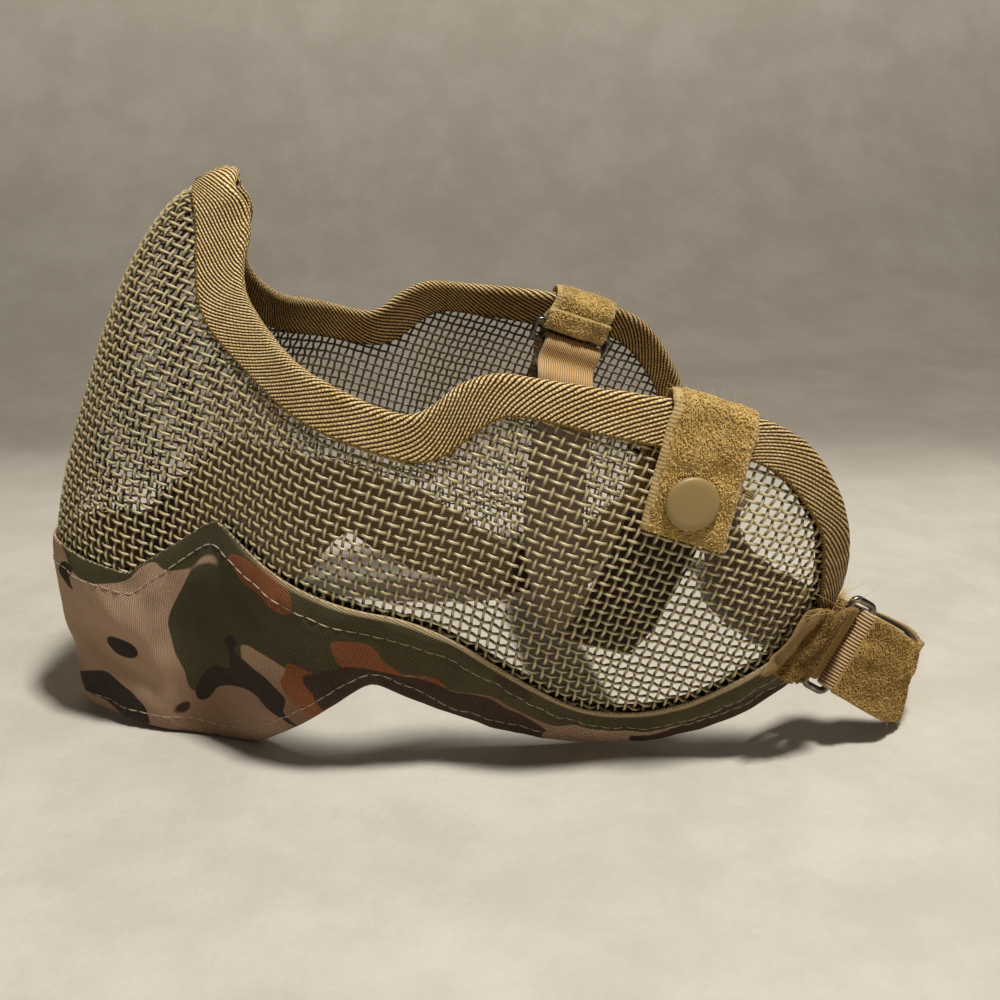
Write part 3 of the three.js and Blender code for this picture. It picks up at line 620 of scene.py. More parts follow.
def weft_wires(pitch, crimp, drift, side):
    """Weft j lies at one height; its distance outward is -crimp * cos(pi * (warp number + j))."""
    numbers, heights = weft_heights(pitch)
    arcs = np.arange(0, WIRE_INSET["rear"], 0.1)
    low, high = wall_limits(arcs)
    for j in range(1, int(numbers[-1]) + 1):
        level = float(np.interp(j, numbers, heights))
        for first, last in runs_of((low < level) & (level < high)):
            start, end = arcs[first], arcs[last]
            if end - start < SHORTEST_WIRE * pitch:
                continue
            warp = stations_between(start / pitch, end / pitch) * side
            arc = warp * pitch
            height = wandered(level, arc, j, drift, WEFT_DRIFT)
            outward = -crimp * np.cos(math.pi * (warp + j))
            yield arc, height, outward


def wire_parts(wires, radius):
    """A tube for each wire, and how near each point is to a crown of the weave, from -1 to 1."""
    parts, crowns = [], []
    top = np.cos(np.arange(WIRE_SIDES) * 2 * math.pi / WIRE_SIDES)
    for arc, height, outward in wires:
        middle, out = wall_read(arc, height)
        parts.append(tube(middle + outward[:, None] * out, out, radius, WIRE_SIDES))
        crowns.append((outward[:, None] / np.abs(outward).max() + top[None, :]).ravel() / 2)
    return parts, {"crown": np.concatenate(crowns)}


def wire_material(settings):
    """Painted wire: olive and tan paint, dusty; the crowns' outer side rubbed and lit by a painted
    highlight, the low side in painted shade; and a little orange-peel in it.
    """
    material, bsdf = shader("painted_wire", 0.42, Coat_Weight=0.35, Coat_Roughness=0.2)
    place = object_place(bsdf)
    patches = step_up(bsdf, noise(bsdf, place, 38, 1.5), 0.42, 0.6)
    paint = mixed(bsdf, patches, settings.colour, settings.second_colour)
    grain = noise(bsdf, place, 900, 3)
    paint = mixed(bsdf, grain, paint, settings.dust_and_highlight_colour, amount=0.35)
    crown = attribute(bsdf, "crown")
    # Outer side of the crowns: rubbed paint, lightened further as a painted highlight.
    paint = mixed(bsdf, step_up(bsdf, crown, 0.2, 0.95), paint, settings.dust_and_highlight_colour, amount=0.72)
    # Low, inner side of each wire: painted shade.
    paint = mixed(bsdf, step_up(bsdf, crown, -0.5, 0.2), shaded(bsdf, paint, WIRE_SHADE), paint)
    peel = noise(bsdf, place, 2200, 2)
    finished(bsdf, paint, grain, 0.3, 0.22, (peel, 0.04))
    return material


# -------- folded tape and cloth

def folded_grid(line, lay, half, lift):
    """Front and back of one ply folded over an edge of the wall.

    Outside, the ply lies from the hem to where the fold starts, turns half a circle about the
    wall's edge, and lies back to the hem inside, lay["middle"] from the wall's middle. lift is
    added to that, as a function of the length across. Returns both grids and that length.
    """
    middle, turns = lay["middle"], lay["turns"]
    lays = lay_shares(half, lay["width"], lay["lays"])
    share = np.concatenate([lays, np.ones(turns), lays[::-1]])
    angle = np.concatenate([np.zeros(len(lays)), np.linspace(0, math.pi, turns + 2)[1:-1],
                            np.full(len(lays), math.pi)])
    hem = wall(line[:, 2], line[:, 3])
    edge = wall(line[:, 0], line[:, 1])
    span = np.linalg.norm(edge - hem, axis=1)[:, None]
    start = 1 - (middle + half) / span
    from_hem = share * start * span
    across = np.where(angle > 0, start * span + middle * angle, from_hem)
    across = np.where(angle == math.pi, 2 * start * span + middle * math.pi - from_hem, across)
    thick = rounded_half(from_hem, half)
    grids = []
    for side in (1, -1):
        off = middle + side * thick + lift(across)
        part = share * start + off * np.sin(angle) / span
        arc = line[:, 2, None] + part * (line[:, 0] - line[:, 2])[:, None]
        height = line[:, 3, None] + part * (line[:, 1] - line[:, 3])[:, None]
        grids.append(wall(arc, height, off * np.cos(angle)))
    return grids[0], grids[1], across


# Where the places over a rounded hem lie, in half thicknesses from the hem.
HEM_PLACES = np.array([0, 0.12, 0.35, 0.7, 1.1])


def read_across(front, across, at):
    """One point of each row of a folded grid, at a length across it, on the outside."""
    rows = np.arange(len(across))
    index = np.argmin(np.abs(across[:, :across.shape[1] // 2] - at), axis=1)
    low = np.clip(np.where(across[rows, index] > at[:, 0], index - 1, index), 0, None)
    part = ((at[:, 0] - across[rows, low]) / (across[rows, low + 1] - across[rows, low]))[:, None]
    return front[rows, low] * (1 - part) + front[rows, low + 1] * part


def lay_shares(half, width, count):
    """Shares of the lay from its hem: close together over the rounded hem, then even."""
    near = HEM_PLACES * half / width
    return np.concatenate([near, np.linspace(near[-1], 1, count + 1)[1:]])


# How the tape lies: ply middle to wall middle, station spacing, turns at the fold, its usual width,
# places across each side, and its pucker's height and length.
TAPE_LAY = {"middle": 1.35, "spacing": 1.15, "turns": 9, "width": 10.0, "lays": 7,
            "pucker": 0.06, "pucker_length": 5}
# How far the tape stands up over the nose, at its fold and at its outer hem, how far to each side,
# and how sharply its fold stands out from its sides.
TAPE_PEAK = {"rise": 2.3, "hem": -0.2, "reach": 7.0, "sharpness": 4.0}
# Columns: length from the ridge, angle of the ribs to the tape, their spacing as a share of the setting.
RIBS = np.array([
    (0, 50, 0.78), (10, 35, 0.78), (20, 22, 0.8), (30, 24, 0.82), (42, 46, 0.85), (60, 39, 0.9),
    (85, 27, 1), (118, 34, 1), (135, 40, 1), (160, 27, 1.05), (230, 24, 1.05), (275, 36, 1), (330, 24, 1),
])
# Which way the yarn's stitches are counted, along the tape and across it.
YARN_RUN = (0.8, 0.6)
# Spacing of the ribs of a woven edge.
SELVEDGE_RIB = 0.95
# Painted shade: share of its colour that the tape keeps inside the mask.
TAPE_INSIDE_SHADE = (0.34, 0.27, 0.17)
# The tape is darkened towards its rear ends as well, with the same darker copy: where that starts, where
# it's full, and how far it goes.
TAPE_REAR = {"start": 165, "full": 215, "share": 0.45}


def rib_phase(u, v, spacing):
    """Number of ribs counted across: their lines turn with the tape's own curve.

    The gradient of the phase is (-sin a, cos a) / spacing, a being the rib's angle to the tape.
    """
    reach = np.linspace(0, np.abs(u).max(), READS["ribs"])
    angle, share = (np.interp(reach, RIBS[:, 0], RIBS[:, k]) for k in (1, 2))
    rate = np.sin(np.radians(angle)) / share
    walked = np.concatenate([[0], np.cumsum((rate[1:] + rate[:-1]) / 2 * np.diff(reach))])
    angle, share = (np.interp(np.abs(u), RIBS[:, 0], RIBS[:, k]) for k in (1, 2))
    return (v * np.cos(np.radians(angle)) / share - np.interp(np.abs(u), reach, walked)) / spacing


def tape_material(settings):
    """Twill tape: round ribs, each twisted from a thick yarn, with a painted highlight on their tops and
    painted shade in the dark gaps between and inside the fold.
    """
    material, bsdf = shader("twill_tape", 0.8, Specular_IOR_Level=0.08, Sheen_Weight=0.08,
                            Sheen_Roughness=0.5, Sheen_Tint=(1.0, 0.74, 0.36, 1))
    _, across, vector = cloth_lengths(bsdf)
    wobble = times(bsdf, noise(bsdf, vector, 0.55, 2), 0.24)
    phase = maths(bsdf, "ADD", attribute(bsdf, "rib"), wobble)
    turn = times(bsdf, phase, math.pi)
    rib = maths(bsdf, "POWER", maths(bsdf, "ABSOLUTE", maths(bsdf, "SINE", turn)), 1.15)
    shift = times(bsdf, maths(bsdf, "FLOOR", phase), 0.37)
    uneven = times(bsdf, noise(bsdf, vector, 1.3, 2), 1.6)
    stitch = maths(bsdf, "ADD", maths(bsdf, "ADD", attribute(bsdf, "yarn"), shift), uneven)
    bead = maths(bsdf, "MULTIPLY_ADD", wave(bsdf, stitch, settings.yarn_length / MM), 0.4, 0.6)
    relief = times(bsdf, rib, bead)
    tint = noise(bsdf, vector, 0.09, 3)
    colour = mixed(bsdf, step_up(bsdf, tint, 0.35, 0.7), settings.colour, settings.light_colour)
    fine = noise(bsdf, vector, 3.5, 2)
    colour = mixed(bsdf, fine, colour, settings.light_colour, amount=0.35)
    # Painted highlight on the top of each rib.
    ridge = step_up(bsdf, relief, 0.55, 0.95)
    colour = mixed(bsdf, ridge, colour, settings.ridge_highlight_colour, amount=0.85)
    # Painted shade down between the ribs.
    colour = mixed(bsdf, step_up(bsdf, relief, 0.19, 0.72), settings.gap_shade_colour, colour)
    hem = step_up(bsdf, across, 0.7, 0.5)
    signed_length = attribute(bsdf, "length")
    tick = wave(bsdf, signed_length, SELVEDGE_RIB)
    tick_share = maths(bsdf, "MULTIPLY_ADD", tick, 0.3, 0.35)
    # Painted shade between the hem's fine ribs.
    hem_colour = mixed(bsdf, tick_share, settings.gap_shade_colour, settings.colour)
    colour = mixed(bsdf, hem, colour, hem_colour)
    relief = mixed_value(bsdf, hem, relief, tick)
    # Painted shade on the inside of the fold.
    shaded_copy = shaded(bsdf, colour, TAPE_INSIDE_SHADE)
    inside = step_up(bsdf, attribute(bsdf, "turned"), 0.5, 0.62)
    colour = mixed(bsdf, inside, colour, shaded_copy)
    # Darker towards the rear ends.
    reach = maths(bsdf, "ABSOLUTE", signed_length)
    rear = step_up(bsdf, reach, TAPE_REAR["start"], TAPE_REAR["full"])
    colour = mixed(bsdf, rear, colour, shaded_copy, amount=TAPE_REAR["share"])
    finished(bsdf, colour, fine, 0.5, 0.2, (relief, 0.55), (fine, 0.06))
    return material


# How the cloth lies: as the tape, and the slant of its threads in degrees.
CLOTH_LAY = {"middle": 1.35, "spacing": 1.75, "turns": 7, "width": 50.0, "lays": 19, "bias": 33.0}
# The cloth's two sewn lines: how far from the upper hem and from the fold, and their dent's width
# and depth.
SEWN = {"hem": 6.2, "fold": 3.2, "width": 1.1, "depth": 0.228}
# The cloth's wrinkles: lengths of the long and the fine ones, height of the fine beside the long, how
# far the cloth stands off, the share inside, and the flat strips at the hem and the fold.
WRINKLES = {"long": 16, "fine": 6, "fine_share": 0.35, "stand": 0.3, "inside": 0.25, "hem": 4, "fold": 3}
# Puckers along the sewn lines: their height, their length, and their length across beside that.
PUCKERS = {"height": 0.1, "length": 3.2, "across": 0.3}
# A soft crease across each side of the chin: its middle, slope, half width, half length and depth.
CREASE = {"along": 22.0, "across": 29.0, "slope": 0.42, "width": 3.6, "reach": 14.0, "depth": 0.9}
# Loose fibres, each kind with its number (or how many to 1 mm2), length, radius and wander.
HEM_FIBRES = {"count": 420, "length": 1.0, "radius": 0.045, "wander": 0.5}
END_FIBRES = {"count": 210, "length": 4.2, "radius": 0.065, "wander": 1.0}
LOOSE_THREADS = {"count": 5, "rows": (2, 16), "length": 6.0, "radius": 0.07, "wander": 1.7}
PATCH_FUZZ = {"density": 1, "count": 420, "length": 1.2, "radius": 0.045, "wander": 0.8}
# Fuzz over the fold of the upper tabs, at a length from their outer end and so far each way.
FOLD_FUZZ = {"at": 29.0, "reach": 9.0, "density": 0.34, "length": 1.7, "radius": 0.04, "wander": 0.9}
# Where each kind of fibre heads: shares of along, up and outward.
HEADED = {"hem": (0, 1, 0.5), "end": (1, 0.2, 0.3), "thread": (-0.7, 0.5, 0.5)}
# How raggedly each patch of pile ends: least and most that its border shifts.
RAGGED = {"outer": (-1.1, 0.7), "returned": (0.5, 1.5), "lower": (-0.8, 0.8), "patch": (0, 0.6)}
# Where each random draw starts.
SEEDS = {
    "wrinkles": 3, "fine_wrinkles": 4, "hem_puckers": 9, "tape_pucker": 21, "hem_fibres": 17,
    "upper_tab": 30, "upper_pile": 50, "upper_end_pile": 54, "fold_fuzz": 86, "fold_fuzz_fibres": 88,
    "lower_tab": 44, "lower_tab_fine": 45, "lower_pile": 60, "frayed_end": 17, "end_fibres": 90,
    "loose_threads": 94, "patch": 71, "patch_pile": 80, "patch_fuzz": 81, "patch_fuzz_fibres": 82,
}
# Softness of a printed shape's edge, on the scale of the noise that draws it.
PRINT_EDGE = 0.006
# Painted shade: share of its colour that the cloth keeps down between its threads.
CLOTH_HOLLOW_SHADE = (0.27, 0.24, 0.21)


def cloth_material(settings):
    """Printed cloth in a plain weave, with painted shade between its threads; inside, past the fold, the
    print's plain back shows, darkened as painted shade.
    """
    material, bsdf = shader("camouflage_cloth", 0.85, Specular_IOR_Level=0.2, Sheen_Weight=0.05,
                            Sheen_Roughness=0.6, Sheen_Tint=(1.0, 0.85, 0.65, 1))
    along, _, vector = cloth_lengths(bsdf)
    turned = attribute(bsdf, "turned")
    place = moved(bsdf, vector, scale=(0.62, 1.0, 1.0))
    ground_share = step_up(bsdf, noise(bsdf, place, 0.02, 1), 0.42, 0.62)
    colour = mixed(bsdf, ground_share, settings.tan, settings.brown_tan)
    reach = maths(bsdf, "ABSOLUTE", along)
    low = step_up(bsdf, turned, 0.19, 0.38)
    upper_side = times(bsdf, step_up(bsdf, reach, 32, 50), rest_of(bsdf, low))
    lower_side = times(bsdf, step_up(bsdf, reach, 62, 95), low)
    # Columns: shift of the print, its scale, level and colour, where there's more of it, how much more.
    layers = (
        ((35, 7, 6), 0.033, 0.60, settings.olive, upper_side, 0.24),
        ((96, 44, 13), 0.042, 0.60, settings.rust, upper_side, -0.05),
        ((15, 74, 35), 0.036, 0.65, settings.brown, lower_side, 0.15),
        ((57, 33, 25), 0.05, 0.64, settings.dark, upper_side, 0.0),
    )
    for shift, scale, level, paint, where, more in layers:
        blobs = noise(bsdf, moved(bsdf, place, shift=shift), scale, 1.6, 0.45)
        field = maths(bsdf, "MULTIPLY_ADD", where, more, blobs)
        colour = mixed(bsdf, step_up(bsdf, field, level, level + PRINT_EDGE), colour, paint)
    pitch = settings.thread_pitch / MM
    warps, wefts = (wave(bsdf, attribute(bsdf, way), pitch) for way in ("warp", "weft"))
    crossing = times(bsdf, rest_of(bsdf, warps), rest_of(bsdf, wefts))
    weave = maths(bsdf, "ADD", times(bsdf, warps, wefts), crossing)
    # Inside, past the fold: the plain back, darkened as painted shade.
    inside = step_up(bsdf, turned, 0.45, 0.55)
    colour = mixed(bsdf, inside, colour, settings.shaded_back_colour)
    soft = noise(bsdf, vector, 0.9, 3)
    colour = mixed(bsdf, soft, colour, settings.brown_tan, amount=0.1)
    # Painted shade between the threads of the weave.
    raised = step_up(bsdf, weave, 0.0, 0.55)
    colour = mixed(bsdf, raised, shaded(bsdf, colour, CLOTH_HOLLOW_SHADE), colour)
    from_edge = attribute(bsdf, "edge")
    ragged = maths(bsdf, "MULTIPLY_ADD", noise(bsdf, vector, 1.1, 3), 2.4, -0.95)
    wear_and_shade = step_up(bsdf, maths(bsdf, "ADD", from_edge, ragged), 0.5, 0.1)
    colour = mixed(bsdf, wear_and_shade, colour, settings.frayed_colour, amount=0.7)
    rubbed = times(bsdf, step_up(bsdf, from_edge, 1.5, 0.8), step_up(bsdf, reach, 55, 95))
    rubbed = times(bsdf, rubbed, rest_of(bsdf, inside))
    colour = mixed(bsdf, rubbed, colour, settings.frayed_colour, amount=0.75)
    finished(bsdf, colour, soft, 0.72, 0.2, (weave, 0.34), (soft, 0.12))
    return material


# A stitch's height, how deep its ends dip, and its thickness at the ends, in its own radius.
STITCH = {"rise": 0.9, "dip": 0.35, "end": 0.45}
STITCH_SIDES = 5


def stitch_parts(points, normals, length, gap, radius):
    """Row of stitches along a line: each dips into the cloth at its ends and stands up between."""
    run = running_length(points)
    count = int(run[-1] / (length + gap))
    parts = []
    shape = np.linspace(0, 1, 6)
    rise = np.sin(shape * math.pi)
    for k in range(count):
        at = run[-1] * k / count + length * shape
        out = along_path(normals, run, at)
        stand = rise * radius * STITCH["rise"] - radius * STITCH["dip"]
        line = along_path(points, run, at) + out * stand[:, None]
        thickness = radius * (STITCH["end"] + (1 - STITCH["end"]) * rise**0.5)
        parts.append(tube(line, out, thickness, STITCH_SIDES))
    return parts


# Loose fibres: shortest and longest beside the usual, how far their headings spread, and their taper.
FIBRE = {"lengths": (0.45, 1.2), "spread": 0.35, "taper": 0.55}


def headed(kind, axes):
    """Direction that a kind of fibre heads for, from a place's axes along, up and outward."""
    return sum(share * axis for share, axis in zip(HEADED[kind], axes))


def fibre_parts(roots, directions, kind, seed):
    """Loose fibres: each leaves its root and bends away, half its wander times the square of its run."""
    draw = np.random.default_rng(seed)
    run = np.linspace(0, 1, 6)[:, None]
    parts = []
    for root, direction in zip(roots, directions):
        reach = kind["length"] * draw.uniform(*FIBRE["lengths"])
        bend = unit(draw.normal(size=3)) * kind["wander"] * reach
        heading = unit(direction + FIBRE["spread"] * draw.normal(size=3))
        points = root + reach * (run * heading) + bend * run**2
        first_side = unit(draw.normal(size=3)) + 0 * points
        parts.append(tube(points, first_side, kind["radius"] * (1 - FIBRE["taper"] * run[:, 0]), 3))
    return parts


def thread_material(settings):
    """Sewing thread: two shades of brown with a fine fibre."""
    material, bsdf = shader("sewing_thread", 0.6, Sheen_Weight=0.3)
    fine = noise(bsdf, object_place(bsdf), 1800, 2)
    colour = mixed(bsdf, fine, settings.thread_colour, settings.thread_light)
    finished(bsdf, colour, fine, 0.5, 0.2, (fine, 0.08))
    return material


# -------- straps and their fastenings

# The upper tab: its width and half thickness, the heights of its lower end and of its ring's bar, and
# how far it comes back up past the bar.
TAB = {"width": 20.5, "half": 0.62, "end": 108.8, "ring": 130.5, "returned": 5.0}
# Arc of each upper tab at the tape's fold and at the tab's lower end.
TAB_ARCS = {"left": (158.0, 164.5), "right": (159.4, 165.9)}
# How far the tab stands off over the wires, over the tape and inside; how much more before it climbs
# on the tape, and between which heights; its turn's radius round the ring; how far below the tape's
# fold its own starts and above it rises, and the angles between which it turns.
TAB_LAY = {"wires": 2.15, "tape": 3.0, "inside": 4.2, "swell": 0.25, "climb": (124, 130), "turn": 2.05,
           "fold_start": 1.4, "fold_rise": 0.85, "fold_angles": (22, 158)}
# The upper tab's soft ripples: their height and length.
TAB_SOFT = (0.16, 7)
# Bare strips along the upper tab's front and rear edges, and how far its outer pile stops from its end.
TAB_EDGES = {"front": 1.4, "rear": 0.8, "pile_front": 2.0, "pile_rear": 0.9, "pile_end": 6}
# The snap's place on the wall, how far out its cap and base are, and the angle of a sharp edge on it.
SNAP = {"arc": 162.3, "height": 117.6, "cap": 3.55, "base": -1.5, "sharp": 50}
# A ring: its wire's thickness, its length inside, the distance between its two bars and the radius of
# its corners, then the places on each corner and the sides of its wire.
RING = {"wire": 1.8, "inside": 23.0, "gap": 6.4, "corner": 1.6}
RING_PLACES = 7
RING_SIDES = 14
# The upper elastic: half thickness, width, how far it's pushed along its right bar, its tail and the
# tail's lean, its straight run below the bar, and the radius of its turn round it.
ELASTIC = {"half": 0.68, "width": 19.4, "pushed": 1.5, "tail": 9.0, "lean": 0.13, "straight": 5.0,
           "turn": 2.15}
# The lower elastic: the same, with the length of its sewn end and how far that's drawn inward.
LOWER_ELASTIC = {"half": 0.62, "width": 21.6, "sewn": 11.0, "gather": 1.8, "straight": 3.0, "turn": 2.15}
# The lower elastic's cords: how far they stand out, and how round they are.
CORDS = {"height": 0.13, "roundness": 0.7}
# The patch: its start past the ring, its length, half thickness and distance from the strap's middle,
# how much wider it is than the strap, and the height and length of its soft ripples.
PATCH = {"start": -3.2, "length": 53.0, "half": 0.5, "lift": 1.35, "wider": 0.3, "soft": 0.22,
         "soft_length": 8}
# The lower ring's bar: its place on the wall and how far behind and outside it, the bar's direction,
# and the way from it to the ring's other bar.
CORNER = {"arc": 215.0, "height": 91.0, "behind": 4.8, "outside": 3.4}
LOWER_BAR = unit(np.array([-0.09, 0.53, 0.84]))
LOWER_LEAN = np.array([0.0, 0.82, -0.57])
# Columns: arc and height of the upper edge, arc and height of the lower edge, distance outward.
LOWER_TAB_OUTSIDE = np.array([
    (202, 102.5, 196.5, 80, 3.0),
    (205, 102.5, 200, 81, 4.0),
    (209, 102, 205.5, 81.5, 5.0),
])
# Columns: arc, height, distance outward.
LOWER_TAB_INSIDE = np.array([(219.8, 91, -2.8), (215, 91.5, -5.1), (208, 91.5, -5.1)])
# The lower tab's crease (place, slant, width, depth), its bare flap, its lump (height, middle,
# spread), its curled end, and where the crumpling ends and over what length.
CRUMPLE = {"fold": 5.2, "slant": 0.12, "crease_width": 1.3, "crease": 1.7, "bare": 4.8, "lump": 0.9,
           "lump_middle": (4, 4), "lump_spread": (9, 30), "curl": 1.0, "calm": 10, "calm_over": 4}
# The lower tab's soft ripples, height and length of the long and the fine ones, and its pile's end.
LOWER_SOFT = {"long": (0.3, 9), "fine": (0.2, 4), "pile_end": 17}
# Where the frayed end of the lower tab shows behind the tape: between which arcs and heights.
FRAYED_END = {"arcs": (219.0, 221.5), "heights": (95.0, 102.5), "outward": 1.5, "middle": (217, 98)}
# Middle of the upper elastic between its rings, from right to left, in the worn frame's axes.
UPPER_RUN = np.array([
    (-59, 143.8, 66), (-54, 141.4, 53), (-43.5, 137.8, 39), (-27, 133.5, 27.5), (-6, 131.5, 19.5),
    (15, 131, 16.5), (32, 132.5, 20.5), (43, 135.5, 31), (50, 139.5, 44.5), (55.5, 143.5, 59),
])
# Middle of the lower elastic between its rings, and the lean of its width.
LOWER_RUN = np.array([
    (59.3, 198.5, 20.6, -0.14, 0.52, 0.84),
    (57, 205, 15.8, -0.2, 0.44, 0.87),
    (51.5, 210, 12.8, -0.22, 0.34, 0.91),
    (43, 212.2, 11.8, -0.2, 0.28, 0.94),
    (34, 209.8, 11.6, -0.14, 0.32, 0.94),
    (18, 202.5, 11.6, -0.06, 0.36, 0.93),
    (-1, 194.5, 11.6, 0, 0.36, 0.93),
    (-20, 190, 12.4, 0.02, 0.38, 0.92),
    (-37, 190, 15, 0.05, 0.42, 0.9),
    (-50, 194, 19.6, 0.1, 0.48, 0.87),
])
MIRROR = np.array([-1.0, 1.0, 1.0])
# Distance between the stations along each strap and tab, and places across each.
STRAP_SPACING = {"upper": 1.6, "lower": 2.0, "upper_tab": 0.8, "lower_tab": 0.7}
STRAP_COLUMNS = {"upper": 21, "lower": 107, "patch": 27, "upper_tab": 25, "lower_tab": 29}


def mirrored(parts):
    """Parts reflected to the wearer's right, with their faces turned back outward."""
    return [(points * MIRROR, [f[:, ::-1] for f in groups]) for points, groups in parts]


def on_side(parts, side):
    """Parts made on the wearer's left, put on the named side."""
    return parts if side == "left" else mirrored(parts)


def strap_line(points, across, spacing):
    """Middle, width direction and face direction of a strap, read evenly along a smooth curve."""
    both = smooth_path(np.concatenate([points, across], axis=1), spacing)
    middle, width = both[:, :3], unit(both[:, 3:])
    return middle, width, unit(np.cross(np.gradient(middle, axis=0), width))


# How much the places across a strap are gathered towards its edges.
GATHERED = 0.35


def strap_grid(line, width, half, columns, relief=None):
    """Front and back of a strap whose long edges are rounded, with its lengths along and across.

    relief(u, v) gives how far outward the front and the back are moved. Places across lie closer
    together towards the edges.
    """
    middle, across, face = line
    u = np.broadcast_to(running_length(middle)[:, None], (len(middle), columns))
    even = np.linspace(-1, 1, columns)
    spread = GATHERED * np.sin(even * math.pi / 2) + (1 - GATHERED) * even
    v = spread * np.broadcast_to(width, len(middle))[:, None] / 2
    thick = rounded_half(width / 2 - np.abs(v), half)
    up = (0, 0) if relief is None else relief(u, v)
    place = middle[:, None] + v[..., None] * across[:, None]
    front = place + (thick + up[0])[..., None] * face[:, None]
    back = place + (up[1] - thick)[..., None] * face[:, None]
    return front, back, u, v


def sheet_uv(u, v):
    """Lengths along and across at each point of a plied sheet."""
    return np.stack([on_both(u), on_both(v)], -1)


def strap_piece(name, grid, material, slot, side="left", **values):
    """Closed piece from a strap's grid, with values at each place for its material."""
    front, back, u, v = grid
    attributes = {key: on_both(grid_values) for key, grid_values in values.items()}
    parts = on_side([plied(front, back)], side)
    return new_piece(name, parts, material, uv=sheet_uv(u, v), attributes=attributes)


# A loop of pile: spread of the way it stands, its shortest and tallest, its narrowest and widest
# (beside the set height), its arch, and how deep its feet are sunk.
LOOP = {"tilt": 0.28, "heights": (0.55, 1.2), "widths": (0.5, 1.1), "arch": 1.25, "sunk": 0.3}


def pile_part(points, normals, height, radius, seed):
    """Loops of yarn, each an arch on two feet: along = s (t - 1/2), up = h (a sin(pi t) - d).

    t runs from 0 to 1, s is the loop's width, h its height, a its arch, and d how deep it's sunk.
    """
    draw = np.random.default_rng(seed)
    count = len(points)
    helper = unit(draw.normal(size=(count, 3)))
    up = unit(normals + LOOP["tilt"] * draw.normal(size=(count, 3)))
    heading = unit(np.cross(up, helper))
    side = np.cross(up, heading)
    tall = height * draw.uniform(*LOOP["heights"], count)
    spread = height * draw.uniform(*LOOP["widths"], count)
    t = np.array([0.0, 0.33, 0.67, 1.0])
    along = (t - 0.5) * spread[:, None]
    rise = np.sin(t * math.pi) * LOOP["arch"] - LOOP["sunk"]
    centre = (points[:, None] + along[..., None] * heading[:, None]
              + (rise * tall[:, None])[..., None] * up[:, None])
    slope = np.cos(t * math.pi)
    first = unit(up[:, None] * (1 - np.abs(slope))[None, :, None]
                 - heading[:, None] * slope[None, :, None])
    angle = np.arange(3) * 2 * math.pi / 3
    ring = (centre[:, :, None]
            + radius * np.cos(angle)[:, None] * side[:, None, None]
            + radius * np.sin(angle)[:, None] * first[:, :, None])
    one, groups = carried(ring[0])
    starts = np.arange(count)[:, None, None] * len(one)
    return ring.reshape(-1, 3), [(starts + f[None]).reshape(-1, f.shape[1]) for f in groups]


def scattered(front, u, v, inside, density, seed):
    """Random places on a grid of points, where inside(u, v, draw) is true, with their normals."""
    draw = np.random.default_rng(seed)
    corner = front[:-1, :-1]
    area = np.linalg.norm(np.cross(front[1:, :-1] - corner, front[:-1, 1:] - corner), axis=-1)
    chance = np.cumsum(area.ravel()) / area.sum()
    count = int(area.sum() * density)
    cell = np.searchsorted(chance, draw.random(count))
    i, j = np.divmod(cell, front.shape[1] - 1)
    a, b = draw.random((2, count))
    normals = unit(np.cross(np.gradient(front, axis=0), np.gradient(front, axis=1)))

    def read(grid):
        """Grid between its places: bilinear in a and b."""
        a_, b_ = (a, b) if grid.ndim == 2 else (a[:, None], b[:, None])
        return ((1 - a_) * (1 - b_) * grid[i, j] + a_ * (1 - b_) * grid[i + 1, j]
                + (1 - a_) * b_ * grid[i, j + 1] + a_ * b_ * grid[i + 1, j + 1])

    keep = inside(read(u), read(v), draw)
    return read(front)[keep], unit(read(normals))[keep]


def upper_fastening(side):
    """Line of an upper tab, its ring and the bar that its strap turns round, on the left side."""
    top_arc, end_arc = TAB_ARCS[side]
    along, up, out = wall_axes(top_arc, TAB["ring"])
    top = float(edge_height(TAPE_EDGE, top_arc))
    bar = wall(top_arc, TAB["ring"], -TAB_LAY["inside"] - TAB_LAY["turn"])

    def arc_at(height):
        """Arc of the tab, straight from its end to the fold."""
        return np.interp(height, [TAB["end"], top], [end_arc, top_arc])

    lift = TAPE_LAY["middle"] + TAB_LAY["fold_start"]
    height = np.linspace(TAB["end"], top - lift, 8)
    wires, tape, inside = (TAB_LAY[key] for key in ("wires", "tape", "inside"))
    stand = np.interp(height, [TAB["end"], *TAB_LAY["climb"]], [wires, wires + TAB_LAY["swell"], tape])
    outer = wall(arc_at(height), height, stand)
    centre = wall(arc_at(top), top - lift, 0.0)
    angle = np.radians(np.linspace(*TAB_LAY["fold_angles"], 7))[:, None]
    reach = np.where(np.cos(angle) > 0, tape, inside)
    fold = centre + np.cos(angle) * reach * out + np.sin(angle) * (lift + TAB_LAY["fold_rise"]) * up
    inner = np.stack([centre - out * inside, bar + out * TAB_LAY["turn"] + up])
    loop = arc_points(bar, out, up, TAB_LAY["turn"], 0, -180, 7)
    back = (bar - out * TAB_LAY["turn"] + up * TAB["returned"])[None]
    middles = np.concatenate([outer, fold, inner, loop, back])
    across = np.broadcast_to(-along, middles.shape)
    return {
        "tab": strap_line(middles, across, STRAP_SPACING["upper_tab"]),
        "bar": bar,
        "strap_bar": bar - up * RING["gap"],
        "along": along,
        "up": up,
        "out": out,
    }


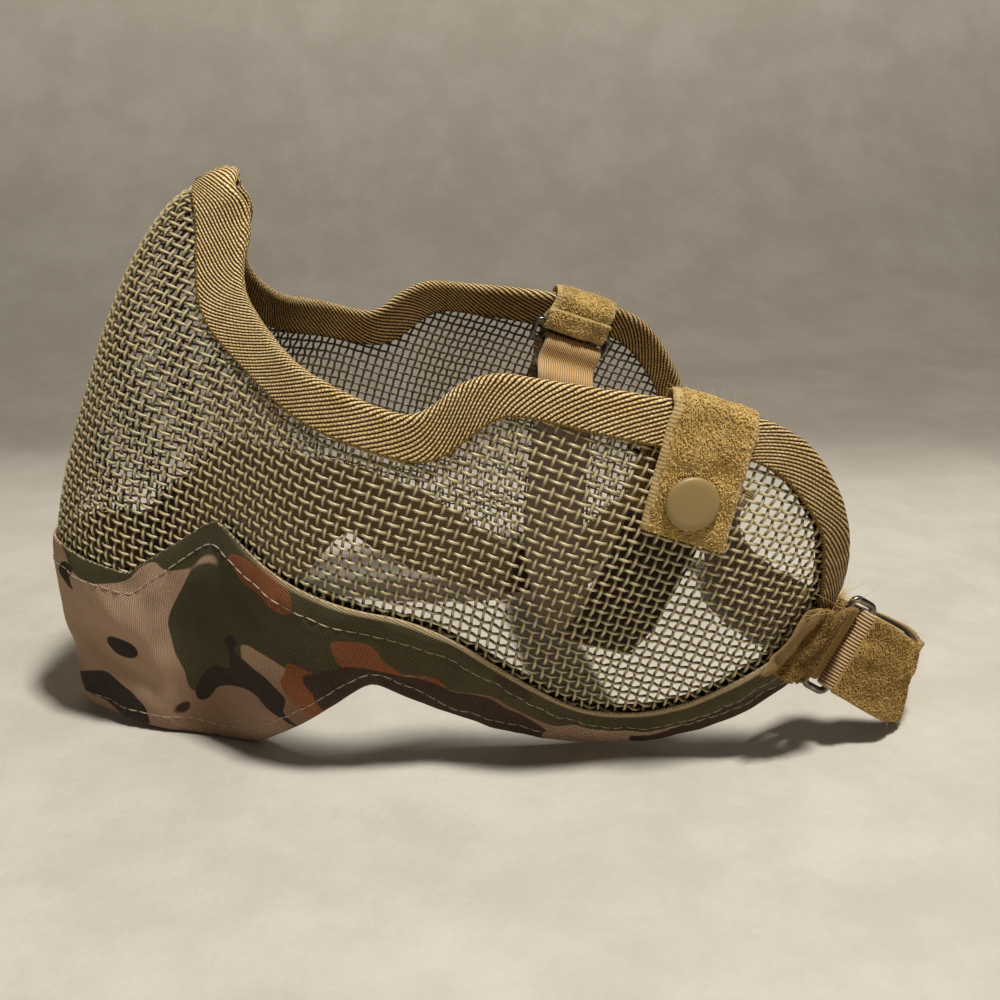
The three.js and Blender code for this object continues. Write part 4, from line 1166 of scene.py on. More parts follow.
def ring_part(bar, along, drop):
    """Rectangular wire ring: round wire along four straight sides and four quarter turns."""
    centre = bar + drop * RING["gap"] / 2
    half_long = (RING["inside"] + RING["wire"]) / 2 - RING["corner"]
    half_short = RING["gap"] / 2 - RING["corner"]
    corners = ((-1, -1), (1, -1), (1, 1), (-1, 1))
    turns = [arc_points(centre + along * a * half_long + drop * b * half_short, along, drop,
                        RING["corner"], 180 + 90 * i, 270 + 90 * i, RING_PLACES)
             for i, (a, b) in enumerate(corners)]
    points = np.concatenate(turns)
    normal = np.broadcast_to(np.cross(along, drop), points.shape)
    return tube(points, normal, RING["wire"] / 2, RING_SIDES, closed=True)


def upper_strap_line(left, right):
    """The upper elastic: a tail at each ring, a turn over its bar, and down through the mask."""
    def end(fastening):
        """Tail, half turn over the bar, and straight down."""
        bar, up, out = (fastening[key] for key in ("strap_bar", "up", "out"))
        drop = np.array([ELASTIC["tail"], ELASTIC["tail"] / 2])[:, None]
        tail = bar + out * (ELASTIC["turn"] - ELASTIC["lean"] * drop) - up * drop
        turn = arc_points(bar, out, up, ELASTIC["turn"], 0, 180, 7)
        return np.concatenate([tail, turn, [turn[-1] - up * ELASTIC["straight"]]])

    first = (end(right) + right["along"] * ELASTIC["pushed"]) * MIRROR
    last = end(left)[::-1]
    middles = np.concatenate([first, UPPER_RUN + REST, last])
    share = np.clip((np.arange(len(middles)) - len(first)) / (len(UPPER_RUN) - 1), 0, 1)[:, None]
    across = unit((1 - share) * right["along"] * MIRROR + share * left["along"])
    return strap_line(middles, across, STRAP_SPACING["upper"])


def lower_fastening():
    """Bars of the lower ring on the left side, and the directions across and away from them."""
    along, _, out = wall_axes(CORNER["arc"], CORNER["height"])
    bar = wall(CORNER["arc"], CORNER["height"]) + along * CORNER["behind"] + out * CORNER["outside"]
    drop = unit(LOWER_LEAN - np.dot(LOWER_LEAN, LOWER_BAR) * LOWER_BAR)
    inward = np.cross(LOWER_BAR, drop)
    return {"bar": bar, "drop": drop, "inward": inward, "strap_bar": bar + drop * RING["gap"]}


def lower_strap_line(fastening):
    """The lower elastic: sewn end, turn over the ring's bar, and round behind to the other ring.

    Also gives the number of the station where it leaves its left end.
    """
    bar, inward, drop = (fastening[key] for key in ("strap_bar", "inward", "drop"))
    turn = arc_points(bar, inward, drop, LOWER_ELASTIC["turn"], 0, -180, 9)
    sewn = turn[0] - inward * LOWER_ELASTIC["gather"] + drop * LOWER_ELASTIC["sewn"]
    end = np.concatenate([[sewn], turn, [turn[-1] + drop * LOWER_ELASTIC["straight"]]])
    middles = np.concatenate([end, LOWER_RUN[:, :3] + REST, end[::-1] * MIRROR])
    bars = np.broadcast_to(LOWER_BAR, end.shape)
    across = np.concatenate([bars, LOWER_RUN[:, 3:], bars * MIRROR])
    line = strap_line(middles, across, STRAP_SPACING["lower"])
    past = np.argmin(np.linalg.norm(line[0] - end[-1], axis=1))
    return line, past


def lower_tab_line(fastening):
    """The lower tab: along the outside of the rear corner, round the ring and back to the inside."""
    bar, inward, drop = (fastening[key] for key in ("bar", "inward", "drop"))
    rows = LOWER_TAB_OUTSIDE
    high, low = wall(rows[:, 0], rows[:, 1], rows[:, 4]), wall(rows[:, 2], rows[:, 3], rows[:, 4])
    loop = arc_points(bar, inward, drop, TAB_LAY["turn"], 180, 0, 7)
    inside = wall(*LOWER_TAB_INSIDE.T)
    middles = np.concatenate([(high + low) / 2, loop, inside])
    bars = np.broadcast_to(LOWER_BAR, (len(loop) + len(inside), 3))
    across = np.concatenate([unit(high - low), bars])
    return strap_line(middles, across, STRAP_SPACING["lower_tab"])


# Share of its colour that each pile keeps, as painted shade: all of it on the upper tabs, darker and
# browner on the patch, darkest on the lower tabs.
PILE_SHADE_TONES = {
    "plain_pile": (1.0, 1.0, 1.0),
    "pile_in_shade": (0.68, 0.61, 0.47),
    "pile_in_deep_shade": (0.44, 0.37, 0.25),
}


def pile_material(settings, tone):
    """Loop pile on a woven ground, with painted shade between its loops and over the lower pieces; a ribbed
    selvedge, with painted shade between its ribs, runs along the tape's long edges.
    """
    material, bsdf = shader(f"{tone}_ground", 0.9, Sheen_Weight=0.3, Sheen_Roughness=0.4,
                            Sheen_Tint=(1.0, 0.7, 0.3, 1))
    along, _, vector = cloth_lengths(bsdf)
    fuzz = noise(bsdf, vector, 1.7, 4, 0.7)
    patch = noise(bsdf, vector, 0.12, 2)
    colour = mixed(bsdf, step_up(bsdf, patch, 0.35, 0.65), settings.colour, settings.shade_colour)
    # Painted shade down between the loops.
    colour = mixed(bsdf, step_up(bsdf, fuzz, 0.35, 0.75), settings.deep_shade_colour, colour)
    selvedge = step_up(bsdf, attribute(bsdf, "edge"), 0.6, 0.4)
    rib = wave(bsdf, along, SELVEDGE_RIB)
    # Painted shade between the selvedge's ribs.
    rib_share = maths(bsdf, "MULTIPLY_ADD", rib, 0.4, 0.6)
    edge_colour = mixed(bsdf, rib_share, settings.shade_colour, settings.selvedge_colour)
    colour = mixed(bsdf, selvedge, colour, edge_colour)
    ribs = times(bsdf, times(bsdf, rib, selvedge), 0.3)
    relief = maths(bsdf, "ADD", times(bsdf, fuzz, 0.8), ribs)
    # Painted shade: the tone's darker copy for the lower pieces.
    finished(bsdf, shaded(bsdf, colour, PILE_SHADE_TONES[tone]), fuzz, 0.78, 0.15, (relief, 0.35))
    return material


def yarn_material(settings, tone):
    """Yarn of the pile's loops: golden, with lighter and darker loops side by side, darker and browner on
    the lower pieces as painted shade.
    """
    material, bsdf = shader(f"{tone}_yarn", 0.62, Sheen_Weight=0.3, Sheen_Tint=(1.0, 0.72, 0.32, 1))
    place = object_place(bsdf)
    each = noise(bsdf, place, 1500, 1)
    patch = noise(bsdf, place, 150, 2)
    colour = mixed(bsdf, step_up(bsdf, each, 0.4, 0.75), settings.colour, settings.light_colour)
    colour = mixed(bsdf, step_up(bsdf, patch, 0.4, 0.7), colour, settings.shade_colour, amount=0.45)
    # Painted shade: the tone's darker copy for the lower pieces.
    finished(bsdf, shaded(bsdf, colour, PILE_SHADE_TONES[tone]), each, 0.6, 0.2)
    return material


# Painted shade over each strap's middle: how far from its ends it starts, where it's darkest, how dark
# it gets, and how ragged the change is.
STRAP_SHADE = {"start": 26.0, "full": 38.0, "share": 0.94, "ragged": 6.0}
# Spacing of the finer elastic's cords, and of both elastics' knitted rows.
FINE_CORD = 0.62


def elastic_material(name, settings, ribbed):
    """Elastic webbing: fine weave across its cords, with pale edges, painted shade between the cords and
    over each strap's middle.
    """
    material, bsdf = shader(name, 0.75, Specular_IOR_Level=0.15)
    along, across, vector = cloth_lengths(bsdf)
    cord_spacing, plain, light = FINE_CORD, settings.fine_colour, settings.fine_light
    gap, depth = 0.4, 0.12
    if ribbed:
        cord_spacing, plain, light = settings.cord_spacing / MM, settings.colour, settings.light_colour
        gap, depth = 0.45, 0.22
    cord = wave(bsdf, across, cord_spacing)
    knit = wave(bsdf, along, FINE_CORD)
    tint = noise(bsdf, vector, 0.2, 3)
    colour = mixed(bsdf, tint, plain, light)
    weave = times(bsdf, cord, maths(bsdf, "MULTIPLY_ADD", knit, 0.4, 0.6))
    # Painted shade down between the cords.
    colour = mixed(bsdf, step_up(bsdf, weave, 0.0, gap), settings.gap_shade_colour, colour)
    edge = step_up(bsdf, attribute(bsdf, "edge"), 1.1, 0.5)
    colour = mixed(bsdf, edge, colour, settings.edge_colour, amount=0.85)
    # Painted shade over the strap's middle, away from its ends.
    wear_and_shade = maths(bsdf, "MULTIPLY_ADD", tint, STRAP_SHADE["ragged"], attribute(bsdf, "from_end"))
    wear_and_shade = step_up(bsdf, wear_and_shade, STRAP_SHADE["start"], STRAP_SHADE["full"])
    colour = mixed(bsdf, wear_and_shade, colour, settings.middle_shade_colour, amount=STRAP_SHADE["share"])
    finished(bsdf, colour, tint, 0.6, 0.2, (weave, depth))
    return material


def steel_material(settings):
    """Dark plated wire with fine scratches and a few worn, brighter spots."""
    material, bsdf = shader("plated_steel", 0.25, Metallic=1.0)
    place = object_place(bsdf)
    wear_and_shade = step_up(bsdf, noise(bsdf, place, 260, 4), 0.5, 0.7)
    scratches = noise(bsdf, moved(bsdf, place, scale=(1, 6, 1)), 900, 2)
    colour = mixed(bsdf, wear_and_shade, settings.steel, settings.worn_steel)
    finished(bsdf, colour, scratches, 0.14, 0.25, (scratches, 0.02))
    return material


def snap_material(settings):
    """Moulded snap: smooth tan plastic, faintly mottled, scuffed on its face."""
    material, bsdf = shader("snap_plastic", 0.42, Coat_Weight=0.1, Coat_Roughness=0.35)
    place = object_place(bsdf)
    cloud = noise(bsdf, place, 220, 3)
    scuff = noise(bsdf, moved(bsdf, place, scale=(1, 1, 4)), 700, 3)
    colour = mixed(bsdf, cloud, settings.snap, settings.snap_light)
    finished(bsdf, colour, scuff, 0.3, 0.3, (scuff, 0.015))
    return material


# Radius and height of the snap's cap and base, from the face down and round to the back.
CAP_PROFILE = np.array([
    (0.5, 1.32), (3.0, 1.3), (4.4, 1.24), (5.2, 1.14), (5.75, 0.95), (6.08, 0.68), (6.2, 0.34),
    (6.16, 0.0), (5.9, -0.25), (0.5, -0.3),
])
BASE_PROFILE = np.array([
    (1.2, 0.6), (1.6, 0.9), (2.4, 0.95), (2.9, 0.45), (4.5, 0.4), (4.95, 0.2), (5.0, 0.0),
    (4.8, -0.2), (0.5, -0.25),
])
SNAP_SEGMENTS = 56


def turned_part(profile, centre, along, up, out):
    """Profile turned about the outward direction, closed by a small flat face at each end."""
    angle = np.arange(SNAP_SEGMENTS) * 2 * math.pi / SNAP_SEGMENTS
    spokes = np.cos(angle)[:, None] * along + np.sin(angle)[:, None] * up
    rings = centre + profile[:, 0, None, None] * spokes[None] + profile[:, 1, None, None] * out
    return carried(rings, flip=True)


# -------- settings

def length(name, description, metres, low=0.00005, high=0.5):
    """Setting for a length."""
    return bpy.props.FloatProperty(
        name=name, description=description, default=metres, min=low, max=high, unit="LENGTH", precision=5)


def colour(name, description, red, green, blue):
    """Setting for a colour."""
    return bpy.props.FloatVectorProperty(
        name=name, description=description, default=(red, green, blue), min=0, max=1, size=3,
        subtype="COLOR")


class MaskWireSettings(bpy.types.PropertyGroup):
    """Woven wire of the mask's wall."""

    pitch: length("Pitch", "Distance between wires", 0.00238)
    diameter: length("Diameter", "Thickness of a wire", 0.00079)
    crimp: length("Crimp", "How far a wire weaves to each side", 0.0004)
    drift: length("Drift", "How far wires wander", 0.00012, 0.0)
    colour: colour("Paint", "Main colour", 0.235, 0.172, 0.062)
    second_colour: colour("Second paint", "Other patches", 0.175, 0.138, 0.054)
    # Dust over the paint, and on the crowns' outer side rubbed paint with a painted highlight.
    dust_and_highlight_colour: colour("Crown", "Rubbed crowns of the weave", 0.82, 0.67, 0.38)


class MaskTapeSettings(bpy.types.PropertyGroup):
    """Twill tape folded over the upper and rear edge."""

    thickness: length("Thickness", "Thickness of one layer", 0.00104)
    rib_spacing: length("Rib spacing", "Distance between ribs", 0.00094)
    yarn_length: length("Yarn length", "Length of one stitch of yarn", 0.0009)
    colour: colour("Colour", "Main colour", 0.67, 0.40, 0.10)
    light_colour: colour("Light colour", "Lighter yarn", 0.93, 0.65, 0.26)
    # Painted highlight on the top of each rib.
    ridge_highlight_colour: colour("Ridge colour", "Rubbed top of each rib", 1.0, 0.80, 0.48)
    # Painted shade down between the ribs.
    gap_shade_colour: colour("Gap colour", "Down between the ribs", 0.03, 0.007, 0.001)


class MaskClothSettings(bpy.types.PropertyGroup):
    """Camouflage cloth round the chin and jaw."""

    thickness: length("Thickness", "Thickness of one layer", 0.0008)
    wrinkle: length("Wrinkle", "Height of the wrinkles", 0.00035, 0.0)
    thread_pitch: length("Thread pitch", "Distance between threads", 0.0008)
    stitch: length("Stitch", "Length of one stitch", 0.0029)
    stitch_gap: length("Stitch gap", "Gap between stitches", 0.00035)
    thread: length("Thread", "Thickness of the thread", 0.00036)
    tan: colour("Ground", "Ground of the print", 0.70, 0.46, 0.30)
    brown_tan: colour("Second ground", "Darker ground", 0.33, 0.19, 0.11)
    olive: colour("Olive", "Olive shapes", 0.085, 0.075, 0.03)
    rust: colour("Rust", "Rust shapes", 0.36, 0.115, 0.038)
    brown: colour("Brown", "Dark brown shapes", 0.06, 0.034, 0.02)
    dark: colour("Dark", "Small near-black shapes", 0.022, 0.018, 0.014)
    # The plain back, darkened as painted shade inside the mask.
    shaded_back_colour: colour("Inside", "Plain back of the cloth", 0.072, 0.041, 0.010)
    frayed_colour: colour("Frayed", "Frayed upper edge", 0.66, 0.50, 0.28)
    thread_colour: colour("Thread colour", "Sewing thread", 0.40, 0.285, 0.19)
    thread_light: colour("Thread light", "Lighter fibres", 0.54, 0.41, 0.28)


class MaskPileSettings(bpy.types.PropertyGroup):
    """Loop pile of the tabs and of the strap's patch."""

    loop_height: length("Loop height", "Height of one loop", 0.00052)
    yarn: length("Yarn", "Thickness of the yarn", 0.0002)
    density: bpy.props.FloatProperty(
        name="Density", description="Loops on each square millimetre", default=3.95, min=0.1, max=8)
    colour: colour("Colour", "Main colour", 0.80, 0.53, 0.155)
    light_colour: colour("Light colour", "Lighter loops", 0.95, 0.73, 0.33)
    # Random darker patches of the pile, and on the selvedge the painted shade between its ribs.
    shade_colour: colour("Shade colour", "Darker areas of the pile", 0.45, 0.29, 0.095)
    # Painted shade down between the loops.
    deep_shade_colour: colour("Deep colour", "Down between the loops", 0.5, 0.335, 0.1)
    selvedge_colour: colour("Selvedge", "Ribbed edge of the tape", 0.60, 0.42, 0.18)


class MaskStrapSettings(bpy.types.PropertyGroup):
    """Elastic straps."""

    cord_spacing: length("Cord spacing", "Distance between cords", 0.00086)
    colour: colour("Colour", "Main colour", 0.56, 0.35, 0.155)
    light_colour: colour("Light colour", "Lighter threads", 0.68, 0.45, 0.22)
    fine_colour: colour("Fine colour", "Main colour of the upper elastic", 0.76, 0.44, 0.17)
    fine_light: colour("Fine light", "Lighter threads of the upper elastic", 0.90, 0.56, 0.24)
    # Painted shade down between the cords.
    gap_shade_colour: colour("Gap colour", "Down between the cords", 0.06, 0.035, 0.018)
    edge_colour: colour("Edge colour", "Long edges of the elastic", 0.55, 0.40, 0.24)
    # Painted shade over the strap's middle, inside and behind the mask.
    middle_shade_colour: colour("Worn colour", "Where wear has darkened it", 0.026, 0.016, 0.009)


class MaskHardwareSettings(bpy.types.PropertyGroup):
    """Rings and snaps."""

    steel: colour("Steel", "Plated wire of the rings", 0.16, 0.145, 0.13)
    worn_steel: colour("Worn steel", "Where the plating is rubbed", 0.42, 0.39, 0.36)
    snap: colour("Snap", "Moulded snap", 0.32, 0.21, 0.07)
    snap_light: colour("Snap light", "Lighter clouds in the snap", 0.37, 0.25, 0.085)


class MaskStageSettings(bpy.types.PropertyGroup):
    """Floor, backdrop, lights and camera."""

    floor: colour("Floor", "Under the mask", 0.66, 0.605, 0.50)
    # Painted shade on the floor behind the mask.
    far_floor_shade: colour("Far floor", "Behind the mask", 0.34, 0.30, 0.24)
    backdrop: colour("Backdrop", "Where the sheet has risen", 0.64, 0.56, 0.455)
    key: bpy.props.FloatProperty(
        name="Key light", description="Lamp overhead, towards the camera", default=10.5, unit="POWER")
    fill: bpy.props.FloatProperty(
        name="Fill light", description="Wide lamp overhead", default=0.4, unit="POWER")
    sky: bpy.props.FloatProperty(
        name="Room light", description="Even light from all round", default=0.075)


SETTINGS = {
    "mask_wire": MaskWireSettings,
    "mask_tape": MaskTapeSettings,
    "mask_cloth": MaskClothSettings,
    "mask_pile": MaskPileSettings,
    "mask_strap": MaskStrapSettings,
    "mask_hardware": MaskHardwareSettings,
    "mask_stage": MaskStageSettings,
}


# -------- operators

class MASK_OT_wire(bpy.types.Operator):
    """Weave the wall from crimped wires, warps up and wefts round it."""

    bl_idname = "mask.wire"
    bl_label = "Woven wire"

    def execute(self, context):
        settings = context.scene.mask_wire
        pitch, radius = settings.pitch / MM, settings.diameter / MM / 2
        crimp, drift = settings.crimp / MM, settings.drift / MM
        material = wire_material(settings)
        for kind, wires in (("warp", warp_wires), ("weft", weft_wires)):
            for side, name in ((1, "left"), (-1, "right")):
                parts, crowns = wire_parts(wires(pitch, crimp, drift, side), radius)
                piece = new_piece(f"mesh_{kind}_{name}", parts, material, attributes=crowns)
                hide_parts("mesh_shell")
        return {"FINISHED"}


class MASK_OT_tape(bpy.types.Operator):
    """Fold the twill tape over the upper and rear edge."""

    bl_idname = "mask.tape"
    bl_label = "Folded tape"

    def execute(self, context):
        settings = context.scene.mask_tape
        half = settings.thickness / MM / 2
        line = edge_line(TAPE_EDGE, TAPE_LAY["spacing"])
        along = length_along(line)
        pucker = ripple(along[:, None], 0, TAPE_LAY["pucker_length"], SEEDS["tape_pucker"])
        pucker = TAPE_LAY["pucker"] * pucker
        front, back, across = folded_grid(line, TAPE_LAY, half, lambda across: pucker + 0 * across)
        peak = np.exp(-((along[:, None] / TAPE_PEAK["reach"]) ** 2))
        turned = np.clip(across / across.max(axis=1, keepdims=True), 0, 1)
        fold = np.clip(np.sin(math.pi * turned), 0, 1) ** TAPE_PEAK["sharpness"]
        outside = np.clip(1 - 2 * turned, 0, 1)
        for grid in (front, back):
            grid[..., 2] += peak * (TAPE_PEAK["rise"] * fold + TAPE_PEAK["hem"] * outside)
        u = np.broadcast_to(along[:, None], across.shape)
        v = np.abs(across)
        values = {
            "rib": on_both(rib_phase(u, v, settings.rib_spacing / MM)),
            "yarn": on_both(np.abs(u) * YARN_RUN[0] + v * YARN_RUN[1]),
            "length": on_both(u + 0 * v),
            "turned": on_both(turned),
        }
        piece = new_piece("edge_binding", [plied(front, back)], tape_material(settings),
                          uv=sheet_uv(u, v), attributes=values)
        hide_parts("edge_tape")
        return {"FINISHED"}


class MASK_OT_cloth(bpy.types.Operator):
    """Fold the camouflage cloth over the lower edge and sew it."""

    bl_idname = "mask.cloth"
    bl_label = "Camouflage cloth"

    def execute(self, context):
        settings = context.scene.mask_cloth
        half = settings.thickness / MM / 2
        line = edge_line(CLOTH_EDGE, CLOTH_LAY["spacing"])
        along = length_along(line)
        width = np.linalg.norm(wall(line[:, 0], line[:, 1]) - wall(line[:, 2], line[:, 3]), axis=1)
        width = width[:, None]
        middle = CLOTH_LAY["middle"]
        round_fold = 2 * (width - middle - half) + middle * math.pi
        wrinkle = settings.wrinkle / MM

        def crease(across):
            """Bell across the crease times a bell along it."""
            beyond = np.abs(along[:, None]) - CREASE["along"]
            off = across - CREASE["across"] - CREASE["slope"] * beyond
            return np.exp(-((off / CREASE["width"]) ** 2)) * np.exp(-((beyond / CREASE["reach"]) ** 2))

        def lift(across):
            """Wrinkles and the crease where the cloth is free, and dents along the sewn lines."""
            from_hem = np.minimum(across, round_fold - across)
            sewn = sum(np.exp(-(((from_hem - at) / SEWN["width"]) ** 2))
                       for at in (SEWN["hem"], width - SEWN["fold"]))
            free = (np.clip(from_hem / WRINKLES["hem"], 0, 1)
                    * np.clip((width - from_hem) / WRINKLES["fold"], 0, 1))
            long = wrinkle * ripple(along[:, None], across, WRINKLES["long"], SEEDS["wrinkles"])
            fine = WRINKLES["fine_share"] * wrinkle * ripple(
                along[:, None], across, WRINKLES["fine"], SEEDS["fine_wrinkles"])
            soft = long + fine - CREASE["depth"] * crease(across)
            pucker = PUCKERS["height"] * ripple(
                along[:, None], across * PUCKERS["across"], PUCKERS["length"], SEEDS["hem_puckers"])
            outside = free * (soft + WRINKLES["stand"]) - sewn * (SEWN["depth"] + pucker)
            return np.where(across < round_fold / 2, outside, WRINKLES["inside"] * free * soft)

        front, back, across = folded_grid(line, CLOTH_LAY, half, lift)
        turned = across / across.max(axis=1, keepdims=True)
        from_end = np.minimum(across, across.max(axis=1, keepdims=True) - across)
        u = np.broadcast_to(along[:, None], across.shape)
        down = np.minimum(across, round_fold - across) / width
        arc = line[:, 2, None] + down * (line[:, 0] - line[:, 2])[:, None]
        height = line[:, 3, None] + down * (line[:, 1] - line[:, 3])[:, None]
        bias = math.radians(CLOTH_LAY["bias"])
        values = {
            "turned": on_both(turned),
            "edge": on_both(from_end),
            "warp": on_both(arc * math.cos(bias) + height * math.sin(bias)),
            "weft": on_both(height * math.cos(bias) - arc * math.sin(bias)),
        }
        piece = new_piece("chin_cloth_cover", [plied(front, back)], cloth_material(settings),
                          uv=sheet_uv(u, across), attributes=values)
        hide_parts("chin_cloth")

        thread = thread_material(settings)
        sewn_lines = {"upper": np.full_like(width, SEWN["hem"]), "lower": width - SEWN["fold"] - middle}
        for name, at in sewn_lines.items():
            points = read_across(front, across, at)
            normals = wall_read(line[:, 2], line[:, 3])[1]
            stitches = stitch_parts(points, normals, settings.stitch / MM, settings.stitch_gap / MM,
                                    settings.thread / MM / 2)
            new_piece(f"chin_stitches_{name}", stitches, thread)
        draw = np.random.default_rng(SEEDS["hem_fibres"])
        rows = draw.integers(2, len(line) - 2, HEM_FIBRES["count"])
        axes = wall_axes(line[rows, 2], line[rows, 3])
        hair = fibre_parts(front[rows, 0], headed("hem", axes), HEM_FIBRES, SEEDS["hem_fibres"])
        new_piece("chin_hem_fibres", hair, thread)
        return {"FINISHED"}


def add_pile(name, settings, tone, grids, inside, seed, side="left"):
    """Loops of yarn standing on one face of a tape; grids are the face and its lengths."""
    points, normals = scattered(*grids, inside, settings.density, seed)
    loops = pile_part(points, normals, settings.loop_height / MM, settings.yarn / MM / 2, seed)
    return new_piece(name, on_side([loops], side), tone_yarn(settings, tone))


def tone_yarn(settings, tone):
    """The tone's yarn, made when it's first asked for."""
    return bpy.data.materials.get(f"{tone}_yarn") or yarn_material(settings, tone)


class MASK_OT_upper_tabs(bpy.types.Operator):
    """Lay the upper tabs over the tape and round their rings."""

    bl_idname = "mask.upper_tabs"
    bl_label = "Upper tabs"

    def execute(self, context):
        settings = context.scene.mask_pile
        material = pile_material(settings, "plain_pile")
        half_width = TAB["width"] / 2
        for seed, side in enumerate(("left", "right")):
            line = upper_fastening(side)["tab"]

            def relief(u, v):
                """One ripple for both faces."""
                height, wavelength = TAB_SOFT
                soft = height * ripple(u, v, wavelength, SEEDS["upper_tab"] + seed)
                return soft, soft

            grid = strap_grid(line, TAB["width"], TAB["half"], STRAP_COLUMNS["upper_tab"], relief)
            front, back, u, v = grid
            edge = np.minimum(half_width - v - TAB_EDGES["front"], half_width + v - TAB_EDGES["rear"])
            piece = strap_piece(f"upper_tab_{side}_tape", grid, material, "pile", side, edge=edge)
            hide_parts(f"upper_tab_{side}")
            long = float(u.max())

            def outer(a, b, draw):
                """Outer face without its bare strips."""
                near = np.minimum(half_width - b - TAB_EDGES["pile_front"],
                                  half_width + b - TAB_EDGES["pile_rear"])
                return (near > draw.uniform(*RAGGED["outer"], len(a))) & (a < long - TAB_EDGES["pile_end"])

            def over_fold(a, b, draw):
                """Round the fold."""
                return np.abs(a - FOLD_FUZZ["at"]) < FOLD_FUZZ["reach"]

            def returned(a, b, draw):
                """End that comes back past the bar."""
                return a > long - TAB["returned"] - draw.uniform(*RAGGED["returned"], len(a))

            add_pile(f"upper_tab_{side}_pile", settings, "plain_pile", (front, u, v), outer,
                     SEEDS["upper_pile"] + seed, side)
            inner_face = (back[:, ::-1], u[:, ::-1], v[:, ::-1])
            add_pile(f"upper_tab_{side}_end_pile", settings, "plain_pile", inner_face, returned,
                     SEEDS["upper_end_pile"] + seed, side)
            roots, rise = scattered(front, u, v, over_fold, FOLD_FUZZ["density"], SEEDS["fold_fuzz"] + seed)
            hair = fibre_parts(roots, rise, FOLD_FUZZ, SEEDS["fold_fuzz_fibres"] + seed)
            yarn = tone_yarn(settings, "plain_pile")
            new_piece(f"upper_tab_{side}_fuzz", on_side(hair, side), yarn)
        return {"FINISHED"}


class MASK_OT_lower_tabs(bpy.types.Operator):
    """Crumple the lower tabs round the rear corners and their rings."""

    bl_idname = "mask.lower_tabs"
    bl_label = "Lower tabs"

    def execute(self, context):
        settings = context.scene.mask_pile
        material = pile_material(settings, "pile_in_deep_shade")
        line = lower_tab_line(lower_fastening())

        def relief(u, v):
            """Ripples + lump - crease + curl, faded out past the crumpled end."""
            fold = u - CRUMPLE["fold"] - CRUMPLE["slant"] * v
            middle, spread = CRUMPLE["lump_middle"], CRUMPLE["lump_spread"]
            lump = (u - CRUMPLE["fold"] - middle[0]) ** 2 / spread[0] + (v - middle[1]) ** 2 / spread[1]
            (long, long_wave), (fine, fine_wave) = LOWER_SOFT["long"], LOWER_SOFT["fine"]
            soft = (long * ripple(u, v, long_wave, SEEDS["lower_tab"])
                    + fine * ripple(u, v, fine_wave, SEEDS["lower_tab_fine"]))
            crease = CRUMPLE["crease"] * np.exp(-((fold / CRUMPLE["crease_width"]) ** 2))
            soft = soft + CRUMPLE["lump"] * np.exp(-lump) - crease
            soft = soft + CRUMPLE["curl"] * np.clip(1 - u / CRUMPLE["fold"], 0, 1) ** 2
            free = np.clip(1 - (u - CRUMPLE["calm"]) / CRUMPLE["calm_over"], 0, 1)
            return soft * free, soft * free

        def inside(a, b, draw):
            """From the bare flap to the pile's end."""
            ragged = draw.uniform(*RAGGED["lower"], len(a))
            return (a < LOWER_SOFT["pile_end"]) & (a - CRUMPLE["bare"] > ragged)

        grid = strap_grid(line, TAB["width"], TAB["half"], STRAP_COLUMNS["lower_tab"], relief)
        front, _, u, v = grid
        edge = np.where(u < CRUMPLE["bare"], 0, TAB["width"] / 2 - np.abs(v) + 1)
        axes = wall_axes(*FRAYED_END["middle"])
        for seed, side in enumerate(("left", "right")):
            piece = strap_piece(f"lower_tab_{side}_tape", grid, material, "pile", side, edge=edge)
            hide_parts(f"lower_tab_{side}")
            add_pile(f"lower_tab_{side}_pile", settings, "pile_in_deep_shade", (front, u, v), inside,
                     SEEDS["lower_pile"] + seed, side)
            draw = np.random.default_rng(SEEDS["frayed_end"] + seed)
            roots = wall(draw.uniform(*FRAYED_END["arcs"], END_FIBRES["count"]),
                         draw.uniform(*FRAYED_END["heights"], END_FIBRES["count"]), FRAYED_END["outward"])
            headings = np.broadcast_to(headed("end", axes), roots.shape)
            hair = fibre_parts(roots, headings, END_FIBRES, SEEDS["end_fibres"] + seed)
            top = front[draw.integers(*LOOSE_THREADS["rows"], LOOSE_THREADS["count"]), -1]
            headings = np.broadcast_to(headed("thread", axes), top.shape)
            hair += fibre_parts(top, headings, LOOSE_THREADS, SEEDS["loose_threads"] + seed)
            yarn = tone_yarn(settings, "plain_pile")
            new_piece(f"lower_tab_{side}_fray", on_side(hair, side), yarn)
        return {"FINISHED"}


